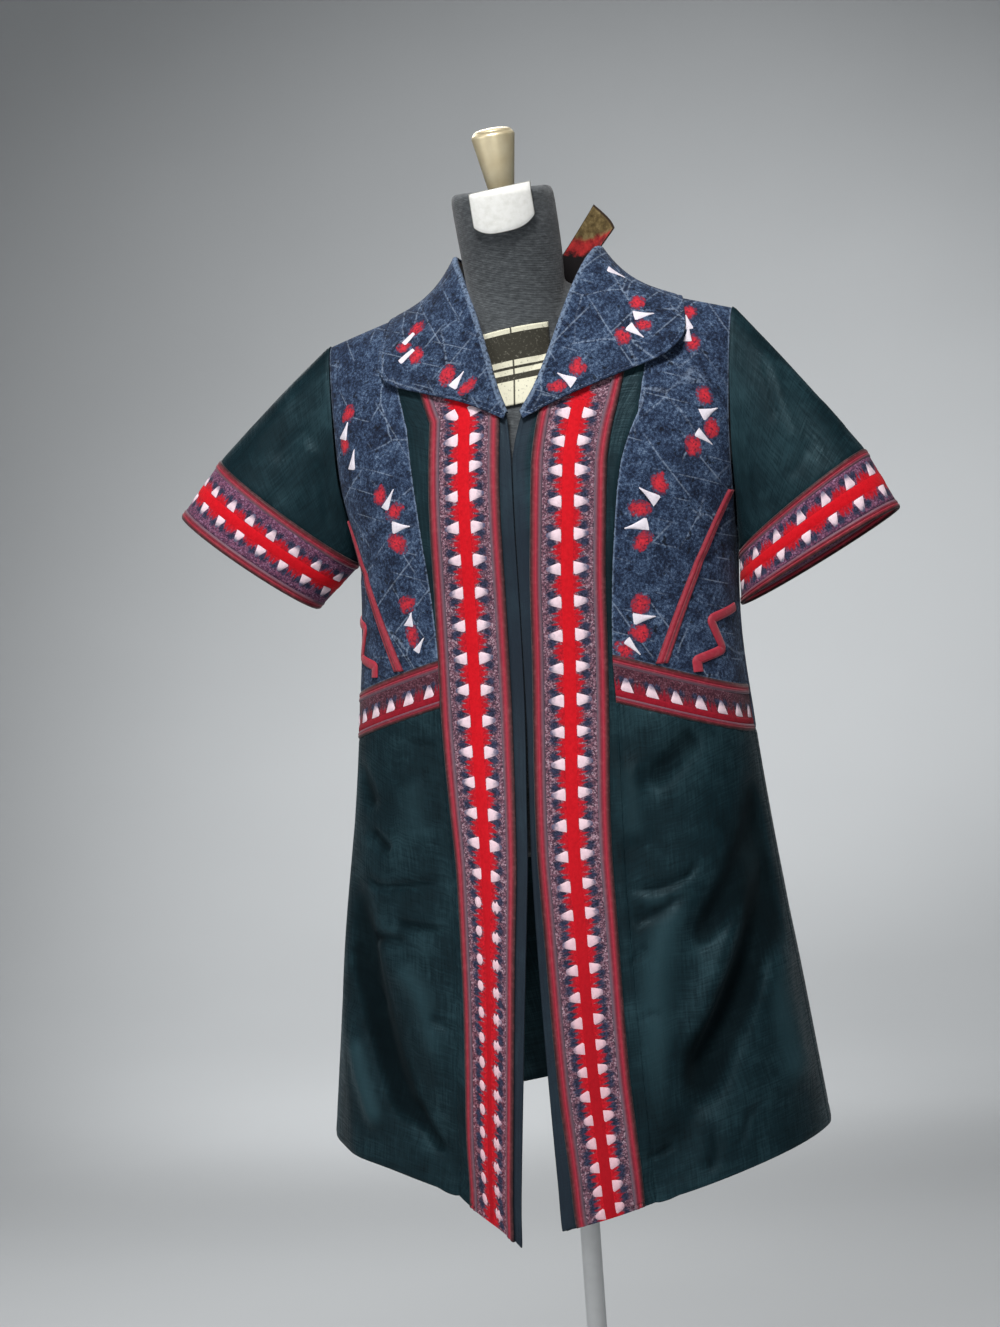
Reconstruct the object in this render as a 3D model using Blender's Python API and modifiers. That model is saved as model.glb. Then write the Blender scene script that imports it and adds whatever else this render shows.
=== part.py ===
# Embroidered jacket on a limbless dress form.
# Metres, +Z up, the front faces -Y, the wearer's left is +X (side = 1), the floor is Z = 0.
import math
from collections import namedtuple

import bmesh
import bpy
from mathutils import Vector

LEFT, RIGHT = 1, -1
SIDE_NAMES = {LEFT: "left", RIGHT: "right"}

# Walls and gaps
CLOTH = 0.0015
TRIM = 0.0010
SEAM_GAP = 0.0004
TRIM_LIFT = 0.0006

# Levels of the cut; above the underarm a level is a share of the way up to the shoulder seam
UNDERARM = 1.165
SHOULDER = 1.382
SHOULDER_TIP_X = 0.208
SHOULDER_SLOPE = math.tan(math.radians(15.8))
SHOULDER_ROUND = 1.8
NECK_LEAN = 0.012
SLOPE_STEP = 0.002                      # step for finding the normal, in radians and metres

# Sections of the jacket round the body, from the hem to the shoulder
Section = namedtuple("Section", "level half_width front back square keel")
BODY = (
    Section(0.46, 0.268, 0.160, 0.170, 0.92, 0.020),
    Section(0.60, 0.250, 0.150, 0.157, 0.92, 0.016),
    Section(0.75, 0.231, 0.137, 0.140, 0.90, 0.011),
    Section(0.90, 0.209, 0.121, 0.121, 0.86, 0.005),
    Section(1.00, 0.197, 0.111, 0.108, 0.84, 0.001),
    Section(1.08, 0.192, 0.107, 0.104, 0.82, 0.000),
    Section(1.165, 0.197, 0.105, 0.107, 0.82, 0.000),
    Section(1.25, 0.214, 0.103, 0.110, 0.82, 0.000),
    Section(1.382, 0.220, 0.098, 0.105, 0.82, 0.000),
)
# How far the wearer's right side is drawn in, by level
Draw = namedtuple("Draw", "level inward")
DRAW_IN = (Draw(1.02, 0.0), Draw(1.08, 0.004), Draw(1.165, 0.012), Draw(1.25, 0.011), Draw(1.382, 0.003))
DRAW_NARROW = 5.0                       # keeps the drawing in to the side
KEEL_REACH = 0.070                      # how fast the front edge's forward swing dies away
KEEL_SHARE = {LEFT: 1.0, RIGHT: 2.6}

# Largest folds of the skirt: troughs are negative; angles run from the front middle to the back
Fold = namedtuple("Fold", "side top top_angle hem_angle width depth")
FOLDS = (
    Fold(LEFT, 0.99, 90.0, 90.0, 24.0, -0.0060),
    Fold(LEFT, 0.90, 80.0, 22.0, 6.5, -0.0075),
    Fold(LEFT, 0.92, 70.0, 19.0, 6.0, 0.0030),
    Fold(RIGHT, 0.88, 69.0, 16.0, 7.0, -0.0065),
    Fold(RIGHT, 0.90, 78.0, 48.0, 8.0, 0.0050),
    Fold(LEFT, 0.90, 118.0, 124.0, 9.0, -0.0080),
    Fold(RIGHT, 0.90, 122.0, 116.0, 9.0, -0.0080),
    Fold(LEFT, 0.92, 158.0, 152.0, 8.0, -0.0070),
    Fold(RIGHT, 0.92, 154.0, 160.0, 8.0, -0.0070),
)
FOLD_RAMP = 0.20                        # height over which a fold grows to its depth
FOLD_FOOT = 0.55

# Front opening
EDGE_GAP = 0.0006
NECK_X, BACK_NECK_DIP = 0.072, 0.024
V_LEVEL, V_HALF = 1.2715, {LEFT: 0.0140, RIGHT: 0.0055}
CLOSE_LEVEL, OPEN_LEVEL = 1.225, 0.860
HEM_GAP = {LEFT: 0.016, RIGHT: 0.0215}
HEM_TIP = {LEFT: 0.508, RIGHT: 0.483}

# Widths across a front, from its edge: plain strip, ribbon, embroidery, ribbon, plain strip
RIBBON, BAND = 0.008, 0.054
BAND_WIDTH = 2 * RIBBON + BAND
EDGE = -1.0                             # an offset past any edge strip, for the front edge itself
PLACKET_TOP_X = 0.140
# Edge strip, share of the band's full width and outer strip, by level
Across = namedtuple("Across", "level edge share outer")
ACROSS = {
    LEFT: (
        Across(0.510, 0.0155, 0.880, 0.0113),
        Across(0.600, 0.0125, 0.903, 0.0126),
        Across(0.660, 0.0100, 0.918, 0.0138),
        Across(0.800, 0.0090, 0.954, 0.0126),
        Across(0.900, 0.0070, 0.980, 0.0130),
        Across(0.980, 0.0080, 1.000, 0.0102),
        Across(1.050, 0.0105, 1.000, 0.0058),
        Across(1.130, 0.0132, 1.000, 0.0078),
        Across(1.200, 0.0185, 1.000, 0.0112),
        Across(1.235, 0.0205, 1.000, 0.0155),
        Across(1.280, 0.0160, 1.000, 0.0236),
    ),
    RIGHT: (
        Across(0.480, 0.0075, 0.700, 0.0150),
        Across(0.600, 0.0085, 0.725, 0.0125),
        Across(0.720, 0.0102, 0.760, 0.0100),
        Across(0.800, 0.0115, 0.820, 0.0082),
        Across(0.860, 0.0118, 0.880, 0.0068),
        Across(0.920, 0.0122, 0.950, 0.0055),
        Across(0.990, 0.0135, 1.000, 0.0040),
        Across(1.050, 0.0140, 1.000, 0.0022),
        Across(1.120, 0.0140, 1.000, 0.0060),
        Across(1.200, 0.0140, 1.000, 0.0155),
        Across(1.235, 0.0125, 1.000, 0.0212),
        Across(1.280, 0.0050, 1.000, 0.0285),
    ),
}

# Hem and waist
HEM_FRONT, HEM_BACK = {LEFT: 0.512, RIGHT: 0.526}, 0.622
HEM_SIDE = {LEFT: 0.578, RIGHT: 0.590}
HEM_CURVE = {LEFT: 1.3, RIGHT: 1.0}     # above one, the hem stays low for longer towards the side
TIP_DROP = {LEFT: 0.004, RIGHT: 0.052}
TIP_REACH = 0.035
HEM_EASE = 4.0                          # how soon the skirt takes up the hem line past the band
WAIST_SIDE, WAIST_RISE_FRONT, WAIST_RISE_BACK = 0.976, 0.053, 0.018
WAIST_CROOK = 0.008                     # the waist sits lower on the wearer's left
WAIST_STRIPS = (0.005, 0.0305, 0.009)   # lower ribbon, embroidery, upper ribbon

# Slanting bodice seam with its tape, and the zigzag braid
SEAM_FOOT_X, SEAM_TOP_LEVEL, SEAM_BOW = 0.131, 1.208, math.radians(2.5)
TAPE_WIDTH, BRAID_WIDTH = 0.008, 0.007
BRAID_MITRE = 0.75                      # limits how far a corner of the braid sticks out
BRAID_SNAP = 0.001                      # how near to a corner counts as the corner
TAPE_START, TAPE_END = 0.02, 0.97
SIDE_RADIUS = 0.107                     # turns a width across the side front into an angle
Turn = namedtuple("Turn", "angle level")        # corners of the zigzag braid, in degrees and metres
BRAID = (
    Turn(84.0, 1.0975),
    Turn(62.8, 1.0868),
    Turn(69.6, 1.0570),
    Turn(53.7, 1.0482),
    Turn(53.8, 1.0365),
)

# Armhole's distance from the middle, by share of the way up
Armhole = namedtuple("Armhole", "share x")
ARMHOLE = (Armhole(0.0, 0.197), Armhole(0.2, 0.2015), Armhole(0.55, 0.204), Armhole(1.0, 0.208))

# Sleeve ends in front view: (x, z) of the seam above the cuff and of the cuff's mouth
Sleeve = namedtuple("Sleeve", "seam_outer seam_inner mouth_outer mouth_inner")
SLEEVES = {
    LEFT: Sleeve((0.328, 1.232), (0.203, 1.142), (0.357, 1.174), (0.202, 1.092)),
    RIGHT: Sleeve((0.331, 1.277), (0.193, 1.162), (0.377, 1.224), (0.241, 1.120)),
}
SLEEVE_HALF_DEPTH = 0.046
SLEEVE_BULGE = 0.001
SLEEVE_GAP_TOP, SLEEVE_GAP_UNDERARM = 0.0008, 0.0030
CUFF_RIBBON_SHARE = 0.12

# Collar, from the foot of the neck opening (0) to the middle of the back (1).
# A turn is the angle over the shoulder: 0 in front, 90 on the shoulder seam, 180 behind.
Collar = namedtuple("Collar", "along neck_x neck_turn stand edge_x edge_turn")
COLLAR = (
    Collar(0.00, 0.011, 26.9, 0.001, 0.013, 26.0),
    Collar(0.12, 0.024, 33.0, 0.004, 0.055, 32.0),
    Collar(0.24, 0.036, 42.0, 0.008, 0.100, 38.8),
    Collar(0.34, 0.046, 51.0, 0.015, 0.139, 46.0),
    Collar(0.42, 0.054, 59.0, 0.021, 0.155, 52.5),
    Collar(0.50, 0.062, 68.0, 0.026, 0.159, 61.0),
    Collar(0.58, 0.070, 80.0, 0.030, 0.156, 75.0),
    Collar(0.66, 0.074, 95.0, 0.032, 0.148, 96.0),
    Collar(0.76, 0.066, 106.0, 0.035, 0.125, 118.0),
    Collar(0.88, 0.036, 112.0, 0.036, 0.070, 129.0),
    Collar(1.00, 0.000, 114.0, 0.036, 0.000, 134.0),
)
# On the wearer's right: how many degrees further down the outer edge hangs,
# and how much nearer to the middle the neckline and the outer edge lie
Sag = namedtuple("Sag", "along turn neck_in edge_in")
RIGHT_SAG = (
    Sag(0.00, 0.0, 0.0070, 0.007),
    Sag(0.12, 0.0, 0.0070, 0.006),
    Sag(0.24, 1.3, 0.0065, 0.006),
    Sag(0.34, 3.2, 0.0045, 0.010),
    Sag(0.42, 4.0, 0.0025, 0.011),
    Sag(0.50, 2.6, 0.0010, 0.011),
    Sag(0.58, 0.8, 0.0000, 0.010),
    Sag(0.66, 0.0, 0.0000, 0.008),
    Sag(0.76, 0.0, 0.0000, 0.003),
    Sag(0.88, 0.0, 0.0000, 0.000),
    Sag(1.00, 0.0, 0.0000, 0.000),
)
COLLAR_LIFT = 0.0046
COLLAR_SHIFT = 0.007                    # the collar sits towards the wearer's left
COLLAR_ROLL = 3.2
STAND_START = 0.56                      # where the collar's inner stand begins, along the collar
STAND_INSET, STAND_BELOW_FOLD, STAND_FULL = 0.0050, 0.003, 0.9
NECK_MIDDLE_Y = -0.030

# Corner of the collar's inner part that stands up behind it, on the wearer's left:
# how far it rises over the stand and leans out, with straight edges between these places
Corner = namedtuple("Corner", "along rise lean")
CORNER = (
    Corner(0.560, 0.000, 0.000),
    Corner(0.633, 0.000, 0.000),
    Corner(0.707, 0.027, 0.018),
    Corner(0.817, 0.057, 0.014),
    Corner(0.927, 0.000, 0.000),
    Corner(1.000, 0.000, 0.000),
)

# Rows and columns of the faceted walls
SKIRT_ROWS, LOW_ROWS, HIGH_ROWS = 12, 6, 5
TAPE_ROWS = 5
BAND_TOP_ROWS = 2                       # rows of the band that run up under the collar
PANEL_COLUMNS, SIDE_COLUMNS = 5, 4
SKIRT_COLUMNS = PANEL_COLUMNS + SIDE_COLUMNS
BACK_COLUMNS, BACK_LOW_ROWS, BACK_HIGH_ROWS = 16, 5, 7
COLLAR_COLUMNS, COLLAR_ROWS = 28, 5
STAND_COLUMNS, STAND_ROWS = 24, 4
SLEEVE_COLUMNS, SLEEVE_ROWS = 18, 4
BRAID_COLUMNS = 20                      # a multiple of the number of the braid's straight runs

# Dress form
FORM_WIDTH, FORM_DEPTH, FORM_DROP = 0.92, 0.90, 0.004
FORM_FOOT, FORM_STRAIGHT, FORM_SIDES = 0.860, 1.02, 40
FORM_LEVELS = (0.860, 0.875, 0.95, 1.02, 1.10, 1.165, 1.23, 1.28, 1.32, 1.35, 1.372, 1.382)
FORM_FOOT_TUCK = 0.93
Neck = namedtuple("Neck", "height half_width front back")
NECK = (
    Neck(1.270, 0.058, -0.074, 0.020),
    Neck(1.310, 0.056, -0.072, 0.020),
    Neck(1.350, 0.052, -0.0705, 0.018),
    Neck(1.400, 0.048, -0.077, 0.016),
    Neck(1.450, 0.0500, -0.0925, 0.0095),
    Neck(1.509, 0.0505, -0.1155, -0.0145),
    Neck(1.513, 0.0485, -0.1140, -0.0165),
)
NECK_TOP_TILT = math.tan(math.radians(9.0))
TAB_ANGLE, TAB_HALF_SWEEP, TAB_SLANT = 12.0, 34.0, 0.0034
TAB_TOP, TAB_HEIGHT, TAB_WALL, TAB_ROUND = 1.5145, 0.040, 0.0022, 0.24
LABEL_HALF_X, LABEL_FOOT, LABEL_TOP, LABEL_SLANT = 0.036, 1.300, 1.376, 0.114
LABEL_WALL, LABEL_LIFT, TAB_LIFT = 0.0012, 0.0015, 0.0018
FINIAL_Y, FINIAL_FOOT = -0.0655, 1.5142
FINIAL_HEIGHT, FINIAL_FOOT_RADIUS, FINIAL_TOP_RADIUS = 0.0535, 0.0130, 0.0215
FINIAL_DOME, FINIAL_EDGE, FINIAL_SIDES = 0.0055, 0.0025, 32
FINIAL_LEAN = (9.0, -3.0)               # forwards with the neck's top, and to the wearer's right
POLE_RADIUS, POLE_SIDES = 0.0100, 24
BASE_RADIUS, BASE_HEIGHT, BASE_BEVEL, BASE_SIDES = 0.200, 0.016, 0.004, 48
COLLET_RADIUS, COLLET_HEIGHT = 0.030, 0.040

# Colours as red, green, blue, then roughness and metallic value
FINISHES = {
    "dark_sateen": ((0.012, 0.020, 0.025), 0.45, 0.0),
    "washed_denim": ((0.055, 0.090, 0.180), 0.85, 0.0),
    "embroidery": ((0.640, 0.020, 0.030), 0.70, 0.0),
    "mauve_ribbon": ((0.180, 0.025, 0.050), 0.55, 0.0),
    "olive_cloth": ((0.110, 0.060, 0.020), 0.70, 0.0),
    "grey_jersey": ((0.055, 0.060, 0.066), 0.90, 0.0),
    "pale_tab": ((0.800, 0.800, 0.760), 0.60, 0.0),
    "satin_brass": ((0.560, 0.450, 0.260), 0.30, 1.0),
    "pale_enamel": ((0.520, 0.530, 0.540), 0.40, 0.0),
}


def clear_scene():
    for item in list(bpy.data.objects):
        bpy.data.objects.remove(item, do_unlink=True)


def make_collection(name):
    group = bpy.data.collections.new(name)
    bpy.context.scene.collection.children.link(group)
    return group


def make_material(name):
    colour, roughness, metallic = FINISHES[name]
    material = bpy.data.materials.new(name)
    material.use_nodes = True
    shader = material.node_tree.nodes["Principled BSDF"]
    shader.inputs["Base Color"].default_value = (*colour, 1.0)
    shader.inputs["Roughness"].default_value = roughness
    shader.inputs["Metallic"].default_value = metallic
    return material


def mix(first, second, share):
    return first + (second - first) * share


def limit(value, low, high):
    return max(low, min(high, value))


def curve_value(rows, key, column):
    """Value of a table's column at a key, on a smooth curve through the rows."""
    last = len(rows) - 1
    k = 0
    while k < last - 1 and key > rows[k + 1][0]:
        k += 1
    before, start, end, after = (rows[limit(k + step, 0, last)] for step in (-1, 0, 1, 2))
    span = end[0] - start[0]
    t = limit((key - start[0]) / span, 0.0, 1.0)
    slope_in = (end[column] - before[column]) / (end[0] - before[0]) * span
    slope_out = (after[column] - start[column]) / (after[0] - start[0]) * span
    return (
        (2 * t**3 - 3 * t**2 + 1) * start[column]
        + (t**3 - 2 * t**2 + t) * slope_in
        + (3 * t**2 - 2 * t**3) * end[column]
        + (t**3 - t**2) * slope_out
    )


def section_at(level):
    return Section(level, *(curve_value(BODY, level, column) for column in range(1, 6)))


def angle_at(x, level, behind=False):
    """Angle round the body at a distance from the middle."""
    cut = section_at(level)
    angle = math.asin(limit(x / cut.half_width, 0.0, 1.0) ** (1.0 / cut.square))
    return math.pi - angle if behind else angle


def x_at(angle, level):
    cut = section_at(level)
    return cut.half_width * math.sin(angle) ** cut.square


def fold_height(side, angle, level):
    height = 0.0
    for fold in FOLDS:
        if fold.side == side and level < fold.top:
            drop = (fold.top - level) / (fold.top - FOLD_FOOT)
            centre = mix(fold.top_angle, fold.hem_angle, drop)
            grown = limit((fold.top - level) / FOLD_RAMP, 0.0, 1.0)
            spread = (math.degrees(angle) - centre) / fold.width
            height += fold.depth * grown * math.exp(-spread * spread)
    return height


def bare_point(side, angle, level):
    """Point of the jacket's inner face at an angle round the body and a level."""
    cut = section_at(level)
    x = cut.half_width * math.sin(angle) ** cut.square
    share = limit((level - UNDERARM) / (SHOULDER - UNDERARM), 0.0, 1.0)
    fullness = (1.0 - share**SHOULDER_ROUND) ** (1.0 / SHOULDER_ROUND)
    top = SHOULDER + (SHOULDER_TIP_X - x) * SHOULDER_SLOPE
    z = mix(UNDERARM, top, share) if share > 0.0 else level
    depth = abs(math.cos(angle)) ** cut.square
    if math.cos(angle) >= 0.0:
        y = -(cut.front + KEEL_SHARE[side] * cut.keel * math.exp(-x / KEEL_REACH)) * depth
    else:
        y = cut.back * depth
    ridge = -NECK_LEAN * (1.0 - x / SHOULDER_TIP_X)
    fold = fold_height(side, angle, level)
    if side == RIGHT:
        x -= curve_value(DRAW_IN, level, 1) * (x / cut.half_width) ** DRAW_NARROW
    x += fold * math.sin(angle)
    y += -fold * math.cos(angle)
    return Vector((side * x, mix(ridge, y, fullness), z))


def body_point(side, angle, level, out=0.0):
    """The same point moved out along the cloth's normal."""
    point = bare_point(side, angle, level)
    if out:
        across = bare_point(side, min(angle + SLOPE_STEP, math.pi), level)
        across -= bare_point(side, max(angle - SLOPE_STEP, 0.0), level)
        upward = bare_point(side, angle, min(level + SLOPE_STEP, SHOULDER))
        upward -= bare_point(side, angle, level - SLOPE_STEP)
        point += across.cross(upward).normalized() * out * side
    return point


def blend_patch(bottom, top, start, end, u, v):
    """Place inside four border curves, each a function that gives a Vector."""
    sides = mix(bottom(u), top(u), v) + mix(start(v), end(v), u)
    low = mix(bottom(0.0), bottom(1.0), u)
    high = mix(top(0.0), top(1.0), u)
    return sides - mix(low, high, v)


def inset_border(points, closed):
    """Pull the outer rows, and the outer columns of an open panel, back from the seams."""
    def pull(target, inner):
        return target + (inner - target).normalized() * (SEAM_GAP / 2)

    points[0] = [pull(a, b) for a, b in zip(points[0], points[1])]
    points[-1] = [pull(a, b) for a, b in zip(points[-1], points[-2])]
    if not closed:
        for row in points:
            row[0], row[-1] = pull(row[0], row[1]), pull(row[-1], row[-2])


def add_object(name, mesh, material, group):
    item = bpy.data.objects.new(name, mesh)
    mesh.materials.append(material)
    group.objects.link(item)
    return item


def shade(item, angle=40.0):
    item.data.shade_smooth()
    item.data.set_sharp_from_angle(angle=math.radians(angle))


def grid_mesh(name, points, flip=False, closed=False):
    """A grid surface through rows of points; a closed one is a tube."""
    rows, columns = len(points) - 1, len(points[0]) - 1
    bm = bmesh.new()
    bmesh.ops.create_grid(bm, x_segments=columns, y_segments=rows, size=0.5)
    places = [point for row in points for point in row]
    for vert, place in zip(bm.verts, places):
        vert.co = place
    if closed:
        bmesh.ops.remove_doubles(bm, verts=bm.verts, dist=0.00001)
    if flip:
        bmesh.ops.reverse_faces(bm, faces=bm.faces)
    mesh = bpy.data.meshes.new(name)
    bm.to_mesh(mesh)
    bm.free()
    return mesh


def wall(name, points, finish, thickness=CLOTH, flip=False, closed=False, grow=1.0):
    """A cloth piece: the grid surface with its wall grown outwards, or inwards with grow -1."""
    inset_border(points, closed)
    item = add_object(name, grid_mesh(name, points, flip, closed), MATERIALS[finish], JACKET)
    shade(item)
    solid = item.modifiers.new("wall", "SOLIDIFY")
    solid.thickness = thickness
    solid.offset = grow
    solid.use_quality_normals = True
    return item


def spread(columns, rows, place):
    return [[place(i / columns, j / rows) for i in range(columns + 1)] for j in range(rows + 1)]


# Lines of the front


def edge_x(side, level):
    """Front edge's distance from the middle, and above the V the neckline's."""
    if level >= V_LEVEL:
        return mix(V_HALF[side], NECK_X, ((level - V_LEVEL) / (SHOULDER - V_LEVEL)) ** 0.9)
    if level >= CLOSE_LEVEL:
        return mix(EDGE_GAP, V_HALF[side], ((level - CLOSE_LEVEL) / (V_LEVEL - CLOSE_LEVEL)) ** 1.5)
    if level >= OPEN_LEVEL:
        return EDGE_GAP
    return mix(EDGE_GAP, HEM_GAP[side], ((OPEN_LEVEL - level) / (OPEN_LEVEL - HEM_TIP[side])) ** 1.2)


def across_at(side, level):
    """Widths across a front at this level, and the same all the way up from the V."""
    level = min(level, V_LEVEL)
    return Across(level, *(curve_value(ACROSS[side], level, column) for column in range(1, 4)))


def placket_x(side, level):
    across = across_at(side, level)
    foot = edge_x(side, across.level) + across.edge + BAND_WIDTH * across.share + across.outer
    return mix(foot, PLACKET_TOP_X, max(level - V_LEVEL, 0.0) / (SHOULDER - V_LEVEL))


def hem_level(side, angle):
    out = x_at(angle, FOLD_FOOT)
    share = out / section_at(FOLD_FOOT).half_width
    if math.cos(angle) >= 0.0:
        tip = TIP_DROP[side] * math.exp(-out / TIP_REACH)
        return mix(HEM_FRONT[side], HEM_SIDE[side], share ** HEM_CURVE[side]) - tip
    return mix(HEM_BACK, HEM_SIDE[side], share)


def waist_level(side, angle, rise=0.0):
    share = math.sin(angle)
    height = WAIST_RISE_FRONT if math.cos(angle) >= 0.0 else WAIST_RISE_BACK
    return WAIST_SIDE + height * (1.0 - share) - WAIST_CROOK * side * share + rise


def turn_level(turn):
    return mix(UNDERARM, SHOULDER, math.sin(math.radians(turn)))


def placket_rows(side):
    """Levels at the placket's outer seam, hem to shoulder."""
    hem = hem_level(side, angle_at(placket_x(side, HEM_FRONT[side]), HEM_FRONT[side]))
    waist = WAIST_SIDE + WAIST_RISE_FRONT / 2
    waist = waist_level(side, angle_at(placket_x(side, waist), waist))
    levels = [mix(hem, waist, j / SKIRT_ROWS) for j in range(SKIRT_ROWS + 1)]
    for height in WAIST_STRIPS:
        levels.append(levels[-1] + height)
    foot = levels[-1]
    levels += [mix(foot, V_LEVEL, (j + 1) / LOW_ROWS) for j in range(LOW_ROWS)]
    start = math.degrees(math.asin((V_LEVEL - UNDERARM) / (SHOULDER - UNDERARM)))
    levels += [turn_level(mix(start, 90.0, (j + 1) / HIGH_ROWS)) for j in range(HIGH_ROWS)]
    return levels


def front_angle(start, u):
    """Angle across a front from its placket to the side seam, with a column at the slanting seam."""
    foot = angle_at(SEAM_FOOT_X, WAIST_SIDE + sum(WAIST_STRIPS))
    split = PANEL_COLUMNS / (PANEL_COLUMNS + SIDE_COLUMNS)
    if u <= split:
        return mix(start, foot, u / split)
    return mix(foot, math.pi / 2, (u - split) / (1.0 - split))


def seam_place(side, levels, row):
    level = levels[row]
    return Vector((angle_at(placket_x(side, level), level), level))


def placket_place(side, levels, row, offset, out):
    """Point of the front at an offset from its band's start; None is the outer seam, EDGE the edge."""
    outer_level = levels[row]
    share = row / SKIRT_ROWS
    inner_level = mix(HEM_TIP[side], levels[SKIRT_ROWS], share) if share < 1.0 else outer_level
    start, end = edge_x(side, inner_level), placket_x(side, outer_level)
    across = across_at(side, outer_level)
    span = across.edge + BAND_WIDTH * across.share + across.outer
    part = 1.0 if offset is None else max(across.edge + offset * across.share, 0.0) / span
    x = mix(start, end, part)
    level = mix(inner_level, outer_level, part)
    if row == 0:
        level = mix(level, hem_level(side, angle_at(x, level)), 1.0 - part)
    return body_point(side, angle_at(x, level), level, out)


# Pieces of the front


def make_fronts(side):
    name = SIDE_NAMES[side]
    flip = side == RIGHT
    levels = placket_rows(side)
    middle = RIBBON + BAND / 2
    columns = (EDGE, RIBBON, middle, RIBBON + BAND, None)
    rows = range(len(levels))
    points = [[placket_place(side, levels, j, c, 0.0) for c in columns] for j in rows]
    wall("placket_" + name, points, "dark_sateen", flip=flip)

    band_rows = range(SKIRT_ROWS + len(WAIST_STRIPS) + LOW_ROWS + BAND_TOP_ROWS + 1)
    lift = CLOTH + TRIM_LIFT
    strips = (
        ("front_ribbon_inner_", (0.0, RIBBON), "mauve_ribbon"),
        ("front_band_", (RIBBON, middle, RIBBON + BAND), "embroidery"),
        ("front_ribbon_outer_", (RIBBON + BAND, BAND_WIDTH), "mauve_ribbon"),
    )
    for prefix, offsets, finish in strips:
        points = [[placket_place(side, levels, j, c, lift) for c in offsets] for j in band_rows]
        wall(prefix + name, points, finish, TRIM, flip)


def make_front_skirt(side):
    levels = placket_rows(side)
    right_angle = math.pi / 2
    hem_start = seam_place(side, levels, 0)
    waist_start = seam_place(side, levels, SKIRT_ROWS)

    def hem_curve(u):
        angle = mix(hem_start.x, right_angle, u)
        return Vector((angle, mix(hem_start.y, hem_level(side, angle), min(HEM_EASE * u, 1.0))))

    def waist(u):
        angle = front_angle(waist_start.x, u)
        return Vector((angle, waist_level(side, angle)))

    def inner(v):
        return seam_place(side, levels, round(v * SKIRT_ROWS))

    def outer(v):
        low, high = hem_level(side, right_angle), waist_level(side, right_angle)
        return Vector((right_angle, mix(low, high, v)))

    def place(u, v):
        spot = blend_patch(hem_curve, waist, inner, outer, u, v)
        return body_point(side, spot.x, spot.y)

    points = spread(SKIRT_COLUMNS, SKIRT_ROWS, place)
    wall("front_skirt_" + SIDE_NAMES[side], points, "dark_sateen", flip=side == RIGHT)


def make_waist_bands(side):
    levels = placket_rows(side)
    strips = (
        ("waist_ribbon_lower_", "mauve_ribbon"),
        ("waist_band_", "embroidery"),
        ("waist_ribbon_upper_", "mauve_ribbon"),
    )
    rise = 0.0
    for k, (prefix, finish) in enumerate(strips):
        start = [seam_place(side, levels, SKIRT_ROWS + k + step).x for step in (0, 1)]
        rises = (rise, rise + WAIST_STRIPS[k])

        def place(u, v):
            angle = front_angle(mix(start[0], start[1], v), u)
            return body_point(side, angle, waist_level(side, angle, mix(*rises, v)))

        points = spread(SKIRT_COLUMNS, 1, place)
        wall(prefix + SIDE_NAMES[side], points, finish, flip=side == RIGHT)
        rise = rises[1]


def armhole_place(share, behind=False):
    level = mix(UNDERARM, SHOULDER, share)
    return Vector((angle_at(curve_value(ARMHOLE, share, 1), level, behind), level))


def slant_seam(side, v):
    """Slanting seam from the waist band up to the armhole."""
    rise = sum(WAIST_STRIPS)
    foot_angle = angle_at(SEAM_FOOT_X, WAIST_SIDE + rise)
    foot = Vector((foot_angle, waist_level(side, foot_angle, rise)))
    share = (SEAM_TOP_LEVEL - UNDERARM) / (SHOULDER - UNDERARM)
    head = armhole_place(share)
    angle = mix(foot.x, head.x, v) - SEAM_BOW * math.sin(math.pi * v)
    return Vector((angle, mix(foot.y, head.y, v)))


def make_bodice(side):
    levels = placket_rows(side)
    first = SKIRT_ROWS + len(WAIST_STRIPS)
    count = LOW_ROWS + HIGH_ROWS
    rise = sum(WAIST_STRIPS)
    top_share = (SEAM_TOP_LEVEL - UNDERARM) / (SHOULDER - UNDERARM)
    top_turn = math.degrees(math.asin(top_share))

    def inner(v):
        return seam_place(side, levels, first + round(v * count))

    def outer(v):
        row = round(v * count)
        if row <= TAPE_ROWS:
            return slant_seam(side, row / TAPE_ROWS)
        turn = mix(top_turn, 90.0, (row - TAPE_ROWS) / (count - TAPE_ROWS))
        return armhole_place(math.sin(math.radians(turn)))

    def waist(u):
        angle = mix(inner(0.0).x, outer(0.0).x, u)
        return Vector((angle, waist_level(side, angle, rise)))

    def shoulder(u):
        return mix(inner(1.0), outer(1.0), u)

    def place_front(u, v):
        spot = blend_patch(waist, shoulder, inner, outer, u, v)
        return body_point(side, spot.x, min(spot.y, SHOULDER))

    points = spread(PANEL_COLUMNS, count, place_front)
    wall("front_panel_" + SIDE_NAMES[side], points, "washed_denim", flip=side == RIGHT)

    def side_foot(u):
        angle = mix(slant_seam(side, 0.0).x, math.pi / 2, u)
        return Vector((angle, waist_level(side, angle, rise)))

    def underarm(u):
        return armhole_place(top_share * (1.0 - u))

    def slant(v):
        return slant_seam(side, v)

    def side_seam(v):
        return Vector((math.pi / 2, mix(side_foot(1.0).y, UNDERARM, v)))

    def place_side(u, v):
        spot = blend_patch(side_foot, underarm, slant, side_seam, u, v)
        return body_point(side, spot.x, spot.y)

    points = spread(SIDE_COLUMNS, TAPE_ROWS, place_side)
    wall("side_panel_" + SIDE_NAMES[side], points, "washed_denim", flip=side == RIGHT)


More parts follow.
